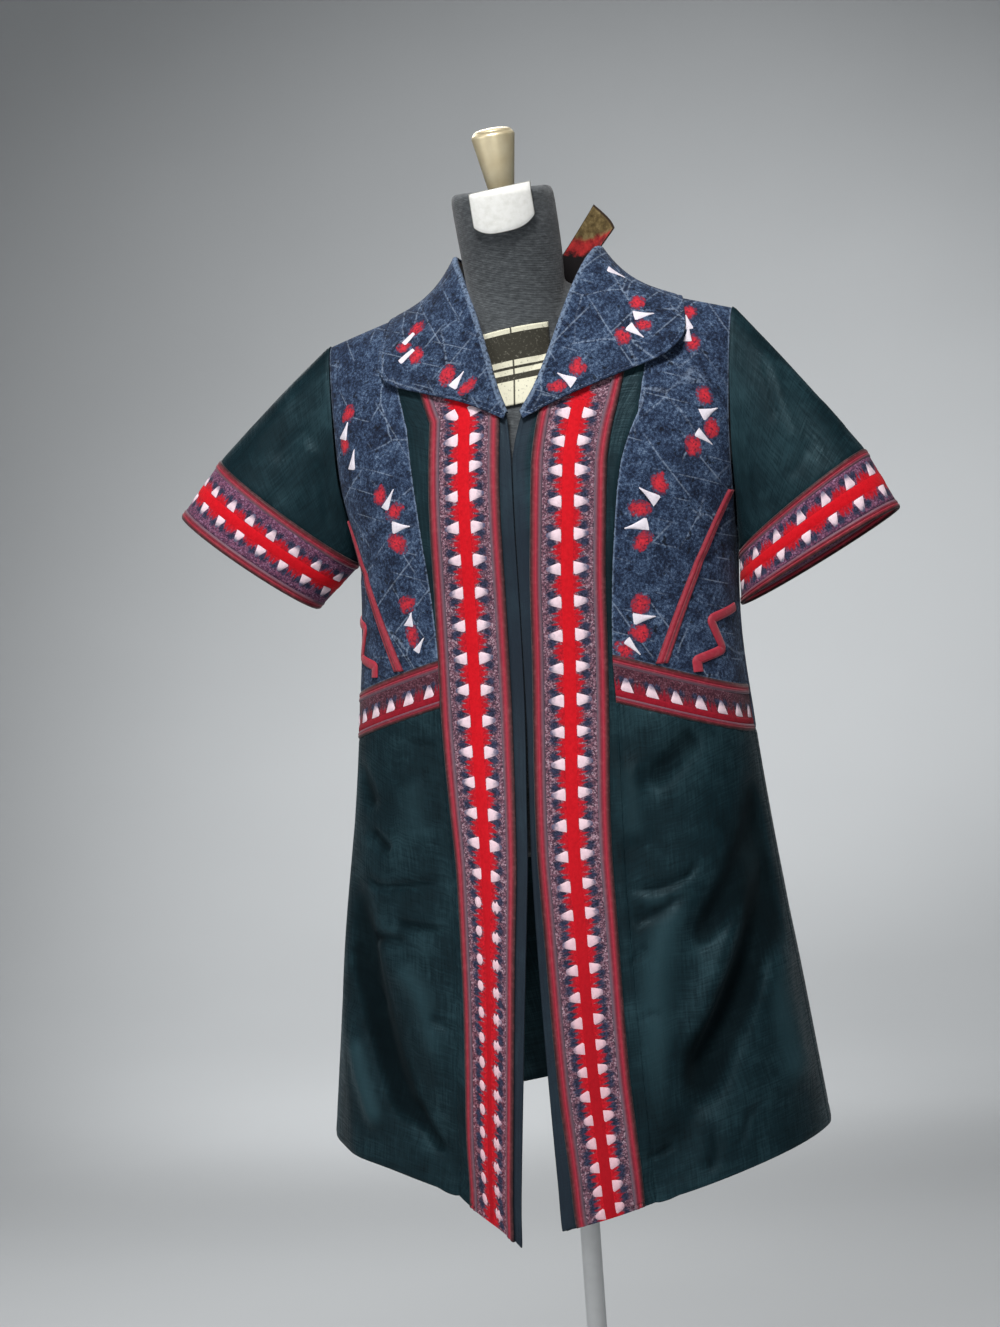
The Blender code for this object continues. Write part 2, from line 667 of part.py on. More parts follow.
def make_tape(side):
    """Tape over the slanting seam, and the zigzag braid beside it."""
    half_turn = TAPE_WIDTH / 2 / SIDE_RADIUS

    def place_tape(u, v):
        spot = slant_seam(side, mix(TAPE_START, TAPE_END, v))
        angle = spot.x + mix(-half_turn, half_turn, u)
        return body_point(side, angle, spot.y, CLOTH + TRIM_LIFT)

    points = spread(2, 2 * TAPE_ROWS, place_tape)
    wall("seam_tape_" + SIDE_NAMES[side], points, "mauve_ribbon", TRIM, side == RIGHT)

    crook = Vector((0.0, -WAIST_CROOK * side))
    corners = [Vector((math.radians(a) * SIDE_RADIUS, level)) + crook for a, level in BRAID]
    runs = [(after - before).normalized() for before, after in zip(corners, corners[1:])]

    def place_braid(u, v):
        place = u * len(runs)
        k = min(int(place + BRAID_SNAP), len(runs) - 1)
        run = runs[k]
        corner = round(place)
        if 0 < corner < len(runs) and abs(place - corner) < BRAID_SNAP:
            run = (runs[corner - 1] + runs[corner]).normalized()
        reach = BRAID_WIDTH / max(run.dot(runs[k]), BRAID_MITRE)
        aside = Vector((run.y, -run.x)) * mix(0.5, -0.5, v) * reach
        flat = mix(corners[k], corners[k + 1], place - k) + aside
        return body_point(side, flat.x / SIDE_RADIUS, flat.y, CLOTH + TRIM_LIFT)

    points = spread(BRAID_COLUMNS, 1, place_braid)
    wall("rickrack_" + SIDE_NAMES[side], points, "mauve_ribbon", TRIM, side == RIGHT)


# Back


def back_side(u):
    return LEFT if u <= 0.5 else RIGHT


def make_back():
    def place_skirt(u, v):
        side = back_side(u)
        angle = mix(math.pi / 2, math.pi, 1.0 - abs(1.0 - 2.0 * u))
        return body_point(side, angle, mix(hem_level(side, angle), waist_level(side, angle), v))

    wall("back_skirt", spread(BACK_COLUMNS, SKIRT_ROWS, place_skirt), "dark_sateen")

    count = BACK_LOW_ROWS + BACK_HIGH_ROWS

    def place_bodice(u, v):
        side = back_side(u)
        row = round(v * count)
        inward = 1.0 - abs(1.0 - 2.0 * u)
        if row <= BACK_LOW_ROWS:
            angle = mix(math.pi / 2, math.pi, inward)
            level = mix(waist_level(side, angle), UNDERARM, row / BACK_LOW_ROWS)
            return body_point(side, angle, level)
        share = math.sin(math.pi / 2 * (row - BACK_LOW_ROWS) / BACK_HIGH_ROWS)
        start = armhole_place(share, behind=True)
        angle = mix(start.x, math.pi, inward)
        out = x_at(angle, start.y) / NECK_X
        dip = BACK_NECK_DIP * share**4 * max(0.0, 1.0 - out * out)
        return body_point(side, angle, start.y - dip)

    wall("back_bodice", spread(BACK_COLUMNS, count, place_bodice), "washed_denim")


# Sleeves


def ring_point(side, outer, inner, half_depth, u):
    """Point round an oval sleeve ring given by its outer and inner ends in front view."""
    centre = Vector((side * (outer[0] + inner[0]) / 2, 0.0, (outer[1] + inner[1]) / 2))
    reach = Vector((side * (outer[0] - inner[0]) / 2, 0.0, (outer[1] - inner[1]) / 2))
    angle = 2 * math.pi * u
    return centre + reach * math.cos(angle) + Vector((0.0, -half_depth * math.sin(angle), 0.0))


def make_sleeve(side):
    name = SIDE_NAMES[side]
    cut = SLEEVES[side]
    flip = side == LEFT

    def place_sleeve(u, v):
        turn = 2.0 * u if u <= 0.5 else 2.0 * (1.0 - u)
        share = max(0.0, math.cos(math.pi / 2 * turn))
        spot = armhole_place(share, u > 0.5)
        rise, forward = math.cos(2 * math.pi * u), math.sin(2 * math.pi * u)
        outward = Vector((side * max(-rise, 0.0), -forward, max(rise, 0.0))).normalized()
        start = bare_point(side, spot.x, spot.y) + outward * CLOTH
        start.x += side * mix(SLEEVE_GAP_UNDERARM, SLEEVE_GAP_TOP, share)
        end = ring_point(side, cut.seam_outer, cut.seam_inner, SLEEVE_HALF_DEPTH, u)
        point = mix(start, end, v)
        bulge = SLEEVE_BULGE * math.sin(math.pi * v) * max(0.0, rise)
        return point + Vector((side * bulge, 0.0, bulge))

    points = spread(SLEEVE_COLUMNS, SLEEVE_ROWS, place_sleeve)
    wall("sleeve_" + name, points, "dark_sateen", flip=flip, closed=True, grow=-1.0)

    shares = (0.0, CUFF_RIBBON_SHARE, 1.0 - CUFF_RIBBON_SHARE, 1.0)
    names = ("cuff_ribbon_upper_", "cuff_band_", "cuff_ribbon_lower_")
    for k, prefix in enumerate(names):

        def place_cuff(u, v):
            start = ring_point(side, cut.seam_outer, cut.seam_inner, SLEEVE_HALF_DEPTH, u)
            end = ring_point(side, cut.mouth_outer, cut.mouth_inner, SLEEVE_HALF_DEPTH, u)
            return mix(start, end, mix(shares[k], shares[k + 1], v))

        points = spread(SLEEVE_COLUMNS, 1, place_cuff)
        finish = "embroidery" if k == 1 else "mauve_ribbon"
        wall(prefix + name, points, finish, flip=flip, closed=True, grow=-1.0)


# Collar


def over_point(x, turn, out):
    """Point of the bodice at a signed distance from the middle and a turn over the shoulder."""
    level = turn_level(turn)
    side = LEFT if x >= 0.0 else RIGHT
    return body_point(side, angle_at(abs(x), level, turn > 90.0), level, out)


def collar_lines(u):
    """Share along, neckline place, outer edge place and stand height across the collar's length."""
    side = back_side(u)
    along = 1.0 - abs(1.0 - 2.0 * u)
    row = Collar(along, *(curve_value(COLLAR, along, column) for column in range(1, 6)))
    shift = COLLAR_SHIFT * math.sin(math.pi / 2 * min(2.0 * along, 1.0))
    sag = Sag(along, 0.0, 0.0, 0.0)
    if side == RIGHT:
        sag = Sag(along, *(curve_value(RIGHT_SAG, along, column) for column in range(1, 4)))
    neck = Vector((side * (row.neck_x - sag.neck_in) + shift, row.neck_turn))
    edge = Vector((side * (row.edge_x - sag.edge_in) + shift, row.edge_turn - sag.turn))
    return side, along, neck, edge, row.stand


def corner_at(along):
    """Rise and lean of the standing corner, straight between the rows of its table."""
    for before, after in zip(CORNER, CORNER[1:]):
        if along <= after.along:
            share = (along - before.along) / (after.along - before.along)
            return mix(before.rise, after.rise, share), mix(before.lean, after.lean, share)
    return 0.0, 0.0


def make_collar():
    up = Vector((0.0, 0.0, 1.0))

    def place_fall(u, v):
        side, along, neck, edge, stand = collar_lines(u)
        spot = mix(edge, neck, v)
        return over_point(spot.x, spot.y, COLLAR_LIFT) + up * stand * v**COLLAR_ROLL

    wall("collar_fall", spread(COLLAR_COLUMNS, COLLAR_ROWS, place_fall), "washed_denim")

    def place_stand(u, v):
        side, along, neck, edge, stand = collar_lines(mix(STAND_START / 2, 1.0 - STAND_START / 2, u))
        foot = over_point(neck.x, neck.y, COLLAR_LIFT)
        inward = Vector((-foot.x, NECK_MIDDLE_Y - foot.y, 0.0)).normalized()
        rise, lean = corner_at(along) if side == LEFT else (0.0, 0.0)
        over = max(2.0 * v - 1.0, 0.0)
        grown = mix(0.0, STAND_FULL, 2.0 * v) if v <= 0.5 else mix(STAND_FULL, 1.0, over)
        height = (stand - STAND_BELOW_FOLD) * grown + rise * over
        return foot + up * height + inward * STAND_INSET + Vector((lean * over * over, 0.0, 0.0))

    wall("collar_stand", spread(STAND_COLUMNS, STAND_ROWS, place_stand), "olive_cloth", TRIM)


# Dress form


def form_point(angle, level, tuck=1.0):
    turn = math.acos(limit(math.cos(angle), -1.0, 1.0))
    point = bare_point(LEFT, turn, max(level, FORM_STRAIGHT))
    x = math.copysign(point.x, math.sin(angle))
    height = point.z - FORM_DROP if level >= UNDERARM else level
    return Vector((x * FORM_WIDTH * tuck, point.y * FORM_DEPTH * tuck, height))


def close_ends(mesh):
    """Cap the open loops of a tube and point its faces outwards."""
    bm = bmesh.new()
    bm.from_mesh(mesh)
    bmesh.ops.remove_doubles(bm, verts=bm.verts, dist=0.00002)
    bmesh.ops.holes_fill(bm, edges=bm.edges, sides=0)
    bmesh.ops.recalc_face_normals(bm, faces=bm.faces)
    bm.to_mesh(mesh)
    bm.free()


def make_form_body():
    points = []
    for level in FORM_LEVELS:
        tuck = FORM_FOOT_TUCK if level == FORM_FOOT else 1.0
        row = [form_point(2 * math.pi * i / FORM_SIDES, level, tuck) for i in range(FORM_SIDES + 1)]
        points.append(row)
    body = add_object("form_body", grid_mesh("form_body", points), MATERIALS["grey_jersey"], FORM)
    close_ends(body.data)

    rings = []
    for ring in NECK:
        centre, reach = (ring.front + ring.back) / 2, (ring.back - ring.front) / 2
        tilt = NECK_TOP_TILT if ring.height > NECK[4].height else 0.0
        row = []
        for i in range(FORM_SIDES + 1):
            angle = 2 * math.pi * i / FORM_SIDES
            y = centre - reach * math.cos(angle)
            row.append(Vector((ring.half_width * math.sin(angle), y, ring.height + tilt * (y - centre))))
        rings.append(row)
    neck = add_object("neck_tool", grid_mesh("neck_tool", rings), MATERIALS["grey_jersey"], CUTTERS)
    close_ends(neck.data)
    neck.hide_render = True
    neck.display_type = "WIRE"
    join = body.modifiers.new("neck", "BOOLEAN")
    join.operation = "UNION"
    join.object = neck
    shade(body)


def neck_point(angle, height, out):
    ring = [curve_value(NECK, min(height, NECK[-2].height), column) for column in range(1, 4)]
    centre, reach = (ring[1] + ring[2]) / 2, (ring[2] - ring[1]) / 2
    x = (ring[0] + out) * math.sin(angle)
    y = centre - (reach + out) * math.cos(angle)
    return Vector((x, y, height + NECK_TOP_TILT * (y - centre)))


def make_form_trim():
    middle, sweep = math.radians(TAB_ANGLE), math.radians(TAB_HALF_SWEEP)

    def place_tab(u, v):
        across = mix(-1.0, 1.0, u)
        top = TAB_TOP + TAB_SLANT * across
        foot = top - TAB_HEIGHT * (1.0 - TAB_ROUND * abs(across) ** 3)
        return neck_point(middle + sweep * across, mix(foot, top, v), TAB_LIFT)

    points = spread(8, 4, place_tab)
    tab = add_object("form_tab", grid_mesh("form_tab", points), MATERIALS["pale_tab"], FORM)

    def place_label(u, v):
        x = mix(-LABEL_HALF_X, LABEL_HALF_X, u)
        height = mix(LABEL_FOOT, LABEL_TOP, v) + LABEL_SLANT * x
        level = form_level(x, height)
        side = LEFT if x >= 0.0 else RIGHT
        point = form_point(side * angle_at(abs(x) / FORM_WIDTH, level), level)
        front = min(point.y, neck_front(x, height))
        return Vector((x, front - LABEL_LIFT, height))

    points = spread(8, 6, place_label)
    label = add_object("form_label", grid_mesh("form_label", points), MATERIALS["pale_tab"], FORM)
    for item, thickness in ((tab, TAB_WALL), (label, LABEL_WALL)):
        shade(item)
        solid = item.modifiers.new("wall", "SOLIDIFY")
        solid.thickness = thickness
        solid.offset = 1.0


def form_level(x, height):
    """Level of the form's surface at a distance from the middle and a height over the underarm."""
    top = SHOULDER + (SHOULDER_TIP_X - abs(x) / FORM_WIDTH) * SHOULDER_SLOPE
    share = (height + FORM_DROP - UNDERARM) / (top - UNDERARM)
    return mix(UNDERARM, SHOULDER, limit(share, 0.0, 1.0))


def neck_front(x, height):
    """Front of the neck's root at a distance from the middle."""
    half_width, front, back = (curve_value(NECK, height, column) for column in range(1, 4))
    share = limit(abs(x) / half_width, 0.0, 1.0)
    return (front + back) / 2 - (back - front) / 2 * math.sqrt(1.0 - share * share)


def turned(name, profile, finish, sides, place=(0.0, 0.0, 0.0), lean=(0.0, 0.0)):
    """A turned solid from a profile of (radius, height) run from top to bottom."""
    mesh = bpy.data.meshes.new(name)
    verts = [(radius, 0.0, height) for radius, height in profile]
    mesh.from_pydata(verts, [(k, k + 1) for k in range(len(verts) - 1)], [])
    item = add_object(name, mesh, MATERIALS[finish], FORM)
    item.location = place
    item.rotation_euler = (math.radians(lean[0]), math.radians(lean[1]), 0.0)
    screw = item.modifiers.new("turn", "SCREW")
    screw.axis = "Z"
    screw.steps = sides
    screw.render_steps = sides
    screw.use_merge_vertices = True
    screw.merge_threshold = 0.00001
    return item


def make_stand():
    turned(
        "form_finial",
        (
            (0.0, FINIAL_HEIGHT + FINIAL_DOME),
            (FINIAL_TOP_RADIUS / 2, FINIAL_HEIGHT + FINIAL_DOME * 0.75),
            (FINIAL_TOP_RADIUS - FINIAL_EDGE, FINIAL_HEIGHT + FINIAL_EDGE * 0.5),
            (FINIAL_TOP_RADIUS, FINIAL_HEIGHT - FINIAL_EDGE),
            (FINIAL_FOOT_RADIUS, 0.0),
            (0.0, 0.0),
        ),
        "satin_brass",
        FINIAL_SIDES,
        (0.0, FINIAL_Y, FINIAL_FOOT),
        FINIAL_LEAN,
    )
    turned(
        "stand_pole",
        (
            (0.0, FORM_FOOT - SEAM_GAP),
            (COLLET_RADIUS, FORM_FOOT - SEAM_GAP),
            (COLLET_RADIUS, FORM_FOOT - COLLET_HEIGHT / 3),
            (POLE_RADIUS, FORM_FOOT - COLLET_HEIGHT),
            (POLE_RADIUS, BASE_HEIGHT + COLLET_HEIGHT),
            (COLLET_RADIUS, BASE_HEIGHT + COLLET_HEIGHT / 3),
            (COLLET_RADIUS, BASE_HEIGHT + SEAM_GAP),
            (0.0, BASE_HEIGHT + SEAM_GAP),
        ),
        "pale_enamel",
        POLE_SIDES,
    )
    turned(
        "stand_base",
        (
            (0.0, BASE_HEIGHT),
            (BASE_RADIUS - BASE_BEVEL, BASE_HEIGHT),
            (BASE_RADIUS, BASE_HEIGHT - BASE_BEVEL),
            (BASE_RADIUS, 0.0),
            (0.0, 0.0),
        ),
        "pale_enamel",
        BASE_SIDES,
    )


clear_scene()
MATERIALS = {name: make_material(name) for name in FINISHES}
JACKET = make_collection("embroidered_jacket")
FORM = make_collection("dress_form")
CUTTERS = make_collection("cutters")
for wearer_side in (LEFT, RIGHT):
    make_fronts(wearer_side)
    make_front_skirt(wearer_side)
    make_waist_bands(wearer_side)
    make_bodice(wearer_side)
    make_tape(wearer_side)
    make_sleeve(wearer_side)
make_back()
make_collar()
make_form_body()
make_form_trim()
make_stand()
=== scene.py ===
import math

import bmesh
import bpy
import numpy as np
from mathutils import Matrix, Vector
from mathutils.bvhtree import BVHTree


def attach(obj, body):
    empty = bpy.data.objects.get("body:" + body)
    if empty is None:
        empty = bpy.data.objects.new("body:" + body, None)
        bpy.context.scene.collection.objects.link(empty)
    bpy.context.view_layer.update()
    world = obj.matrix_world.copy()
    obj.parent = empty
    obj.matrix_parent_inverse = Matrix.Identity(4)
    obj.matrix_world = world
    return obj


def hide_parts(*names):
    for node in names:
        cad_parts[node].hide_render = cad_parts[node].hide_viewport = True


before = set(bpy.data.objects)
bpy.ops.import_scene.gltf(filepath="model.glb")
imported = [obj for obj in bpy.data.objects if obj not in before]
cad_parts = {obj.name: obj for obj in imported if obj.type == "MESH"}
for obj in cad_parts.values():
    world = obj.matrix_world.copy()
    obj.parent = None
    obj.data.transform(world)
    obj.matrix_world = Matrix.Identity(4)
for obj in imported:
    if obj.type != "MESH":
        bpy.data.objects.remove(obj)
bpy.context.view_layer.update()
scene = bpy.context.scene
scene.view_settings.view_transform = "Standard"
print("frame:", len(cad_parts), "nodes")

left, right = 1, -1  # the wearer's sides, +X and -X
sideNames = {left: "Left", right: "Right"}
chance = np.random.default_rng(11)  # small unevenness of the needlework


# Small sums used by every piece
def mix(first, second, share):
    return first + (second - first) * share


def ease(low, high, value):
    share = np.clip((value - low) / (high - low), 0.0, 1.0)
    return share * share * (3.0 - 2.0 * share)


def pick(side, table):
    return np.where(np.asarray(side) > 0, table[left], table[right])


def unit(vectors):
    return vectors / np.maximum(np.linalg.norm(vectors, axis=-1, keepdims=True), 1e-9)


def curveAt(rows, key, column):
    # smooth curve through a table, read at many keys
    table = np.array(rows, float)
    keys, values = table[:, 0], table[:, column]
    last = len(keys) - 1
    key = np.asarray(key, float)
    k = np.clip(np.searchsorted(keys, key) - 1, 0, last - 1)
    before, after = np.maximum(k - 1, 0), np.minimum(k + 2, last)
    span = keys[k + 1] - keys[k]
    t = np.clip((key - keys[k]) / span, 0.0, 1.0)
    slopeIn = (values[k + 1] - values[before]) / (keys[k + 1] - keys[before]) * span
    slopeOut = (values[after] - values[k]) / (keys[after] - keys[k]) * span
    return (
        (2 * t**3 - 3 * t**2 + 1) * values[k]
        + (t**3 - 2 * t**2 + t) * slopeIn
        + (3 * t**2 - 2 * t**3) * values[k + 1]
        + (t**3 - t**2) * slopeOut
    )


rimLines = (0.0010, 0.0022, 0.0045)  # extra grid lines beside a seam


def lines(count, length, rim=rimLines):
    # even shares from 0 to 1 with closer lines beside the two seams
    close = np.array(rim) / length
    return np.unique(np.concatenate((np.linspace(0.0, 1.0, count + 1), close, 1.0 - close)))


# Cut of the jacket round the body, in metres; above the underarm a level leads to the shoulder seam
body = {
    "rows": (  # level, half width, front, back, squareness, swing of the front edge
        (0.46, 0.268, 0.160, 0.170, 0.92, 0.020),
        (0.60, 0.250, 0.150, 0.157, 0.92, 0.016),
        (0.75, 0.231, 0.137, 0.140, 0.90, 0.011),
        (0.90, 0.209, 0.121, 0.121, 0.86, 0.005),
        (1.00, 0.197, 0.111, 0.108, 0.84, 0.001),
        (1.08, 0.192, 0.107, 0.104, 0.82, 0.000),
        (1.165, 0.197, 0.105, 0.107, 0.82, 0.000),
        (1.25, 0.214, 0.103, 0.110, 0.82, 0.000),
        (1.382, 0.220, 0.098, 0.105, 0.82, 0.000),
    ),
    "folds": (  # side, top, angle there, angle at the hem, width in degrees, depth
        (left, 0.99, 90.0, 90.0, 24.0, -0.0060),
        (left, 0.90, 80.0, 22.0, 6.5, -0.0075),
        (left, 0.92, 70.0, 19.0, 6.0, 0.0030),
        (right, 0.88, 69.0, 16.0, 7.0, -0.0065),
        (right, 0.90, 78.0, 48.0, 8.0, 0.0050),
        (left, 0.90, 118.0, 124.0, 9.0, -0.0080),
        (right, 0.90, 122.0, 116.0, 9.0, -0.0080),
        (left, 0.92, 158.0, 152.0, 8.0, -0.0070),
        (right, 0.92, 154.0, 160.0, 8.0, -0.0070),
    ),
    "foldRamp": 0.20,
    "foldFoot": 0.55,
    "underarm": 1.165,
    "shoulder": 1.382,
    "tipX": 0.208,
    "slope": math.tan(math.radians(15.8)),
    "round": 1.8,
    "neckLean": 0.012,
    "swingReach": 0.070,
    "swing": {left: 1.0, right: 2.6},
    "drawIn": (  # level, how far the wearer's right side is drawn in
        (1.02, 0.0), (1.08, 0.004), (1.165, 0.012), (1.25, 0.011), (1.382, 0.003),
    ),
    "drawNarrow": 5.0,
    "cloth": 0.0015,
    "armhole": ((0.0, 0.197), (0.2, 0.2015), (0.55, 0.204), (1.0, 0.208)),
}
quarter = math.pi / 2


def bodyRow(level, column):
    return curveAt(body["rows"], level, column)


def chestShare(level):
    # share of the way from the underarm up to the shoulder
    return (level - body["underarm"]) / (body["shoulder"] - body["underarm"])


def bothSides(u):
    # the wearer's side on a sheet that goes round the back, and the share of the way to its middle
    return np.where(u <= 0.5, left, right), 1.0 - np.abs(1.0 - 2.0 * u)


def foldHeight(side, angle, level):
    height = 0.0
    for foldSide, top, topAngle, hemAngle, width, depth in body["folds"]:
        drop = (top - level) / (top - body["foldFoot"])
        grown = np.clip((top - level) / body["foldRamp"], 0.0, 1.0)
        spread = (np.degrees(angle) - mix(topAngle, hemAngle, drop)) / width
        height = height + np.where(side == foldSide, depth * grown * np.exp(-spread * spread), 0.0)
    return height


def barePoint(side, angle, level):
    # inner face of the cloth; angle 0 is the front middle, a half turn the back middle
    square = bodyRow(level, 4)
    sine, cosine = np.maximum(np.sin(angle), 0.0), np.cos(angle)
    x = bodyRow(level, 1) * sine**square
    share = np.clip(chestShare(level), 0.0, 1.0)
    fullness = (1.0 - share ** body["round"]) ** (1.0 / body["round"])
    top = body["shoulder"] + (body["tipX"] - x) * body["slope"]
    z = np.where(share > 0.0, mix(body["underarm"], top, share), level)
    depth = np.abs(cosine) ** square
    swing = pick(side, body["swing"]) * bodyRow(level, 5) * np.exp(-x / body["swingReach"])
    y = np.where(cosine >= 0.0, -(bodyRow(level, 2) + swing), bodyRow(level, 3)) * depth
    ridge = -body["neckLean"] * (1.0 - x / body["tipX"])
    fold = foldHeight(side, angle, level)
    drawn = curveAt(body["drawIn"], level, 1) * (x / bodyRow(level, 1)) ** body["drawNarrow"]
    x = x - np.where(np.asarray(side) == right, drawn, 0.0) + fold * sine
    y = y - fold * cosine
    return np.stack(np.broadcast_arrays(side * x, mix(ridge, y, fullness), z), axis=-1)


def bodyPoint(side, angle, level, out=0.0):
    point = barePoint(side, angle, level)
    if out:
        step = 0.002
        ahead, behind = np.minimum(angle + step, math.pi), np.maximum(angle - step, 0.0)
        over = np.minimum(level + step, body["shoulder"])
        across = barePoint(side, ahead, level) - barePoint(side, behind, level)
        upward = barePoint(side, angle, over) - barePoint(side, angle, level - step)
        point = point + unit(np.cross(across, upward)) * np.asarray(out * side)[..., None]
    return point


def angleAt(x, level, behind=False):
    angle = np.arcsin(np.clip(x / bodyRow(level, 1), 0.0, 1.0) ** (1.0 / bodyRow(level, 4)))
    return np.where(behind, math.pi - angle, angle)


def turnLevel(turn):
    return mix(body["underarm"], body["shoulder"], np.sin(np.radians(turn)))


def armholePlace(share, behind=False):
    level = mix(body["underarm"], body["shoulder"], share)
    return angleAt(curveAt(body["armhole"], share, 1), level, behind), level


# Sheets: a grid laid on the cut, creased along its normals, with a wall
sewing = {
    "creaseFade": 0.25,  # share of a crease in which its ends fade out
    "foldSpread": 1.35, "foldDeep": 0.009,  # a crease shades wider than it is, and fully at this depth
    "grooveWidth": 0.0026,  # the cloth dips beside a seam
    "placketGroove": 0.0006, "skirtGroove": 0.0007, "bodiceGroove": 0.0008,
    "hemTurn": 0.016, "hemWidth": 0.0013, "hemDeep": 0.0005,  # the stitched line of a hem
}


def gridNormals(points, flip=False, closed=False):
    grid = np.concatenate((points[:, -2:-1], points, points[:, 1:2]), axis=1) if closed else points
    normals = unit(np.cross(np.gradient(grid, axis=1), np.gradient(grid, axis=0)))
    normals = normals[:, 1:-1] if closed else normals
    return -normals if flip else normals


def runLengths(points, axis):
    steps = np.linalg.norm(np.diff(points, axis=axis), axis=-1)
    start = np.zeros_like(np.take(steps, [0], axis=axis))
    return np.concatenate((start, np.cumsum(steps, axis=axis)), axis=axis)


def rimDistance(points, closed):
    along = runLengths(points, 0)
    ends = np.minimum(along, along[-1:] - along)
    if closed:
        return ends
    across = runLengths(points, 1)
    return np.minimum(ends, np.minimum(across, across[:, -1:] - across))


def creaseHeight(points, creases):
    # each crease: depth, width and the x, z places it runs through, seen from the front
    flat = points[..., (0, 2)]
    height = np.zeros(flat.shape[:-1])
    for depth, width, path in creases:
        knots = [(k, x, z) for k, (x, z) in enumerate(path)]
        keys = np.linspace(0.0, len(path) - 1.0, 5 * len(path))
        run = np.stack((curveAt(knots, keys, 1), curveAt(knots, keys, 2)), axis=-1)
        nearest, place = np.full(height.shape, 1e3), np.zeros(height.shape)
        for k in range(len(run) - 1):
            step = run[k + 1] - run[k]
            t = np.clip(((flat - run[k]) @ step) / (step @ step), 0.0, 1.0)
            away = np.linalg.norm(flat - run[k] - t[..., None] * step, axis=-1)
            place = np.where(away < nearest, (k + t) / (len(run) - 1), place)
            nearest = np.minimum(nearest, away)
        fade = ease(0.0, sewing["creaseFade"], place) * ease(0.0, sewing["creaseFade"], 1.0 - place)
        height += depth * fade * np.exp(-((nearest / width) ** 2))
    return height


def dress(points, flip=False, creases=(), lift=0.0, groove=0.0, closed=False, extra=0.0):
    height = creaseHeight(points, creases) + lift + extra
    if groove:
        height = height - groove * np.exp(-((rimDistance(points, closed) / sewing["grooveWidth"]) ** 2))
    return points + gridNormals(points, flip, closed) * height[..., None]


def creaseShadeAndHighlight(points, creases):
    # painted shade in a crease's trough and painted highlight on its ridge, spread wider than the crease:
    # above 0 shade, below 0 highlight
    wider = [(depth, sewing["foldSpread"] * width, path) for depth, width, path in creases]
    return -creaseHeight(points, wider) / sewing["foldDeep"]


def hemLine(points):
    away = (runLengths(points, 0) - sewing["hemTurn"]) / sewing["hemWidth"]
    return -sewing["hemDeep"] * np.exp(-(away**2))


def gridArea(points):
    firstWay = points[1:, 1:] - points[:-1, :-1]
    otherWay = points[1:, :-1] - points[:-1, 1:]
    return float(np.linalg.norm(np.cross(firstWay, otherWay), axis=-1).sum() / 2)


cuts = {}  # flat size and area of every sheet


def makeSheet(name, points, finish, wall, flip=False, closed=False, **marks):
    rows, columns = points.shape[0] - 1, points.shape[1] - 1
    across, along = runLengths(points, 1), runLengths(points, 0)
    marks.setdefault("rim", rimDistance(points, closed))
    bm = bmesh.new()
    bmesh.ops.create_grid(bm, x_segments=columns, y_segments=rows, size=0.5)
    bm.verts.index_update()
    uvLayer = bm.loops.layers.uv.new("UVMap")
    for vert, spot in zip(bm.verts, points.reshape(-1, 3).tolist()):
        vert.co = spot
    for mark, values in marks.items():
        layer = bm.verts.layers.float.new(mark)
        for vert, value in zip(bm.verts, np.broadcast_to(values, across.shape).ravel().tolist()):
            vert[layer] = value
    flat = list(zip(across.ravel().tolist(), along.ravel().tolist()))
    for face in bm.faces:
        face.smooth = True
        for loop in face.loops:
            loop[uvLayer].uv = flat[loop.vert.index]
    if closed:
        bmesh.ops.remove_doubles(bm, verts=bm.verts, dist=0.00001)
    if flip:
        bmesh.ops.reverse_faces(bm, faces=bm.faces)
    piece = addPiece(name, bm, [finish])
    solid = piece.modifiers.new("wall", "SOLIDIFY")
    solid.thickness = wall
    solid.offset = 1.0
    solid.use_even_offset = False
    cuts[name] = (float(across.max()), float(along.max()), gridArea(points))
    return piece


def nodeName(name):
    # the solid that a piece stands for: front_skirt_left for frontSkirtLeft
    return "".join("_" + letter.lower() if letter.isupper() else letter for letter in name)


def smooth(bm):
    for face in bm.faces:
        face.smooth = True


def newObject(name, bm, finishes=()):
    mesh = bpy.data.meshes.new(name)
    bm.to_mesh(mesh)
    bm.free()
    for finish in finishes:
        mesh.materials.append(finishOf[finish])
    made = bpy.data.objects.new(name, mesh)
    scene.collection.objects.link(made)
    return made


def addPiece(name, bm, finishes, isSolid=True):
    piece = newObject(name, bm, finishes)
    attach(piece, "root")
    if isSolid:
        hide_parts(nodeName(name))
    return piece


def declare(piece):
    width, length, area = cuts[piece.name]
    width, length = math.ceil(width * 1000) / 1000, math.ceil(length * 1000) / 1000


# Raised needlework: small domed pads laid on a strip of cloth
needle = {
    "sink": 0.00012, "spineStep": 0.004, "spineHeight": 0.0006, "spineSink": 0.0001,
    "uneven": (0.93, 1.07), "stray": 0.0006, "smallBelow": 0.45,
}


def stripMap(points, normals, acrossLines, alongLines):
    # place at a distance across, a distance along and a height above the strip
    def share(grid, values):
        k = np.clip(np.searchsorted(grid, values) - 1, 0, len(grid) - 2)
        return k, (values - grid[k]) / (grid[k + 1] - grid[k])

    def at(across, along, height):
        (i, s), (j, t) = share(acrossLines, across), share(alongLines, along)
        s, t = s[..., None], t[..., None]

        def read(grid):
            low, high = mix(grid[j, i], grid[j, i + 1], s), mix(grid[j + 1, i], grid[j + 1, i + 1], s)
            return mix(low, high, t)

        return read(points) + read(normals) * height[..., None]

    return at


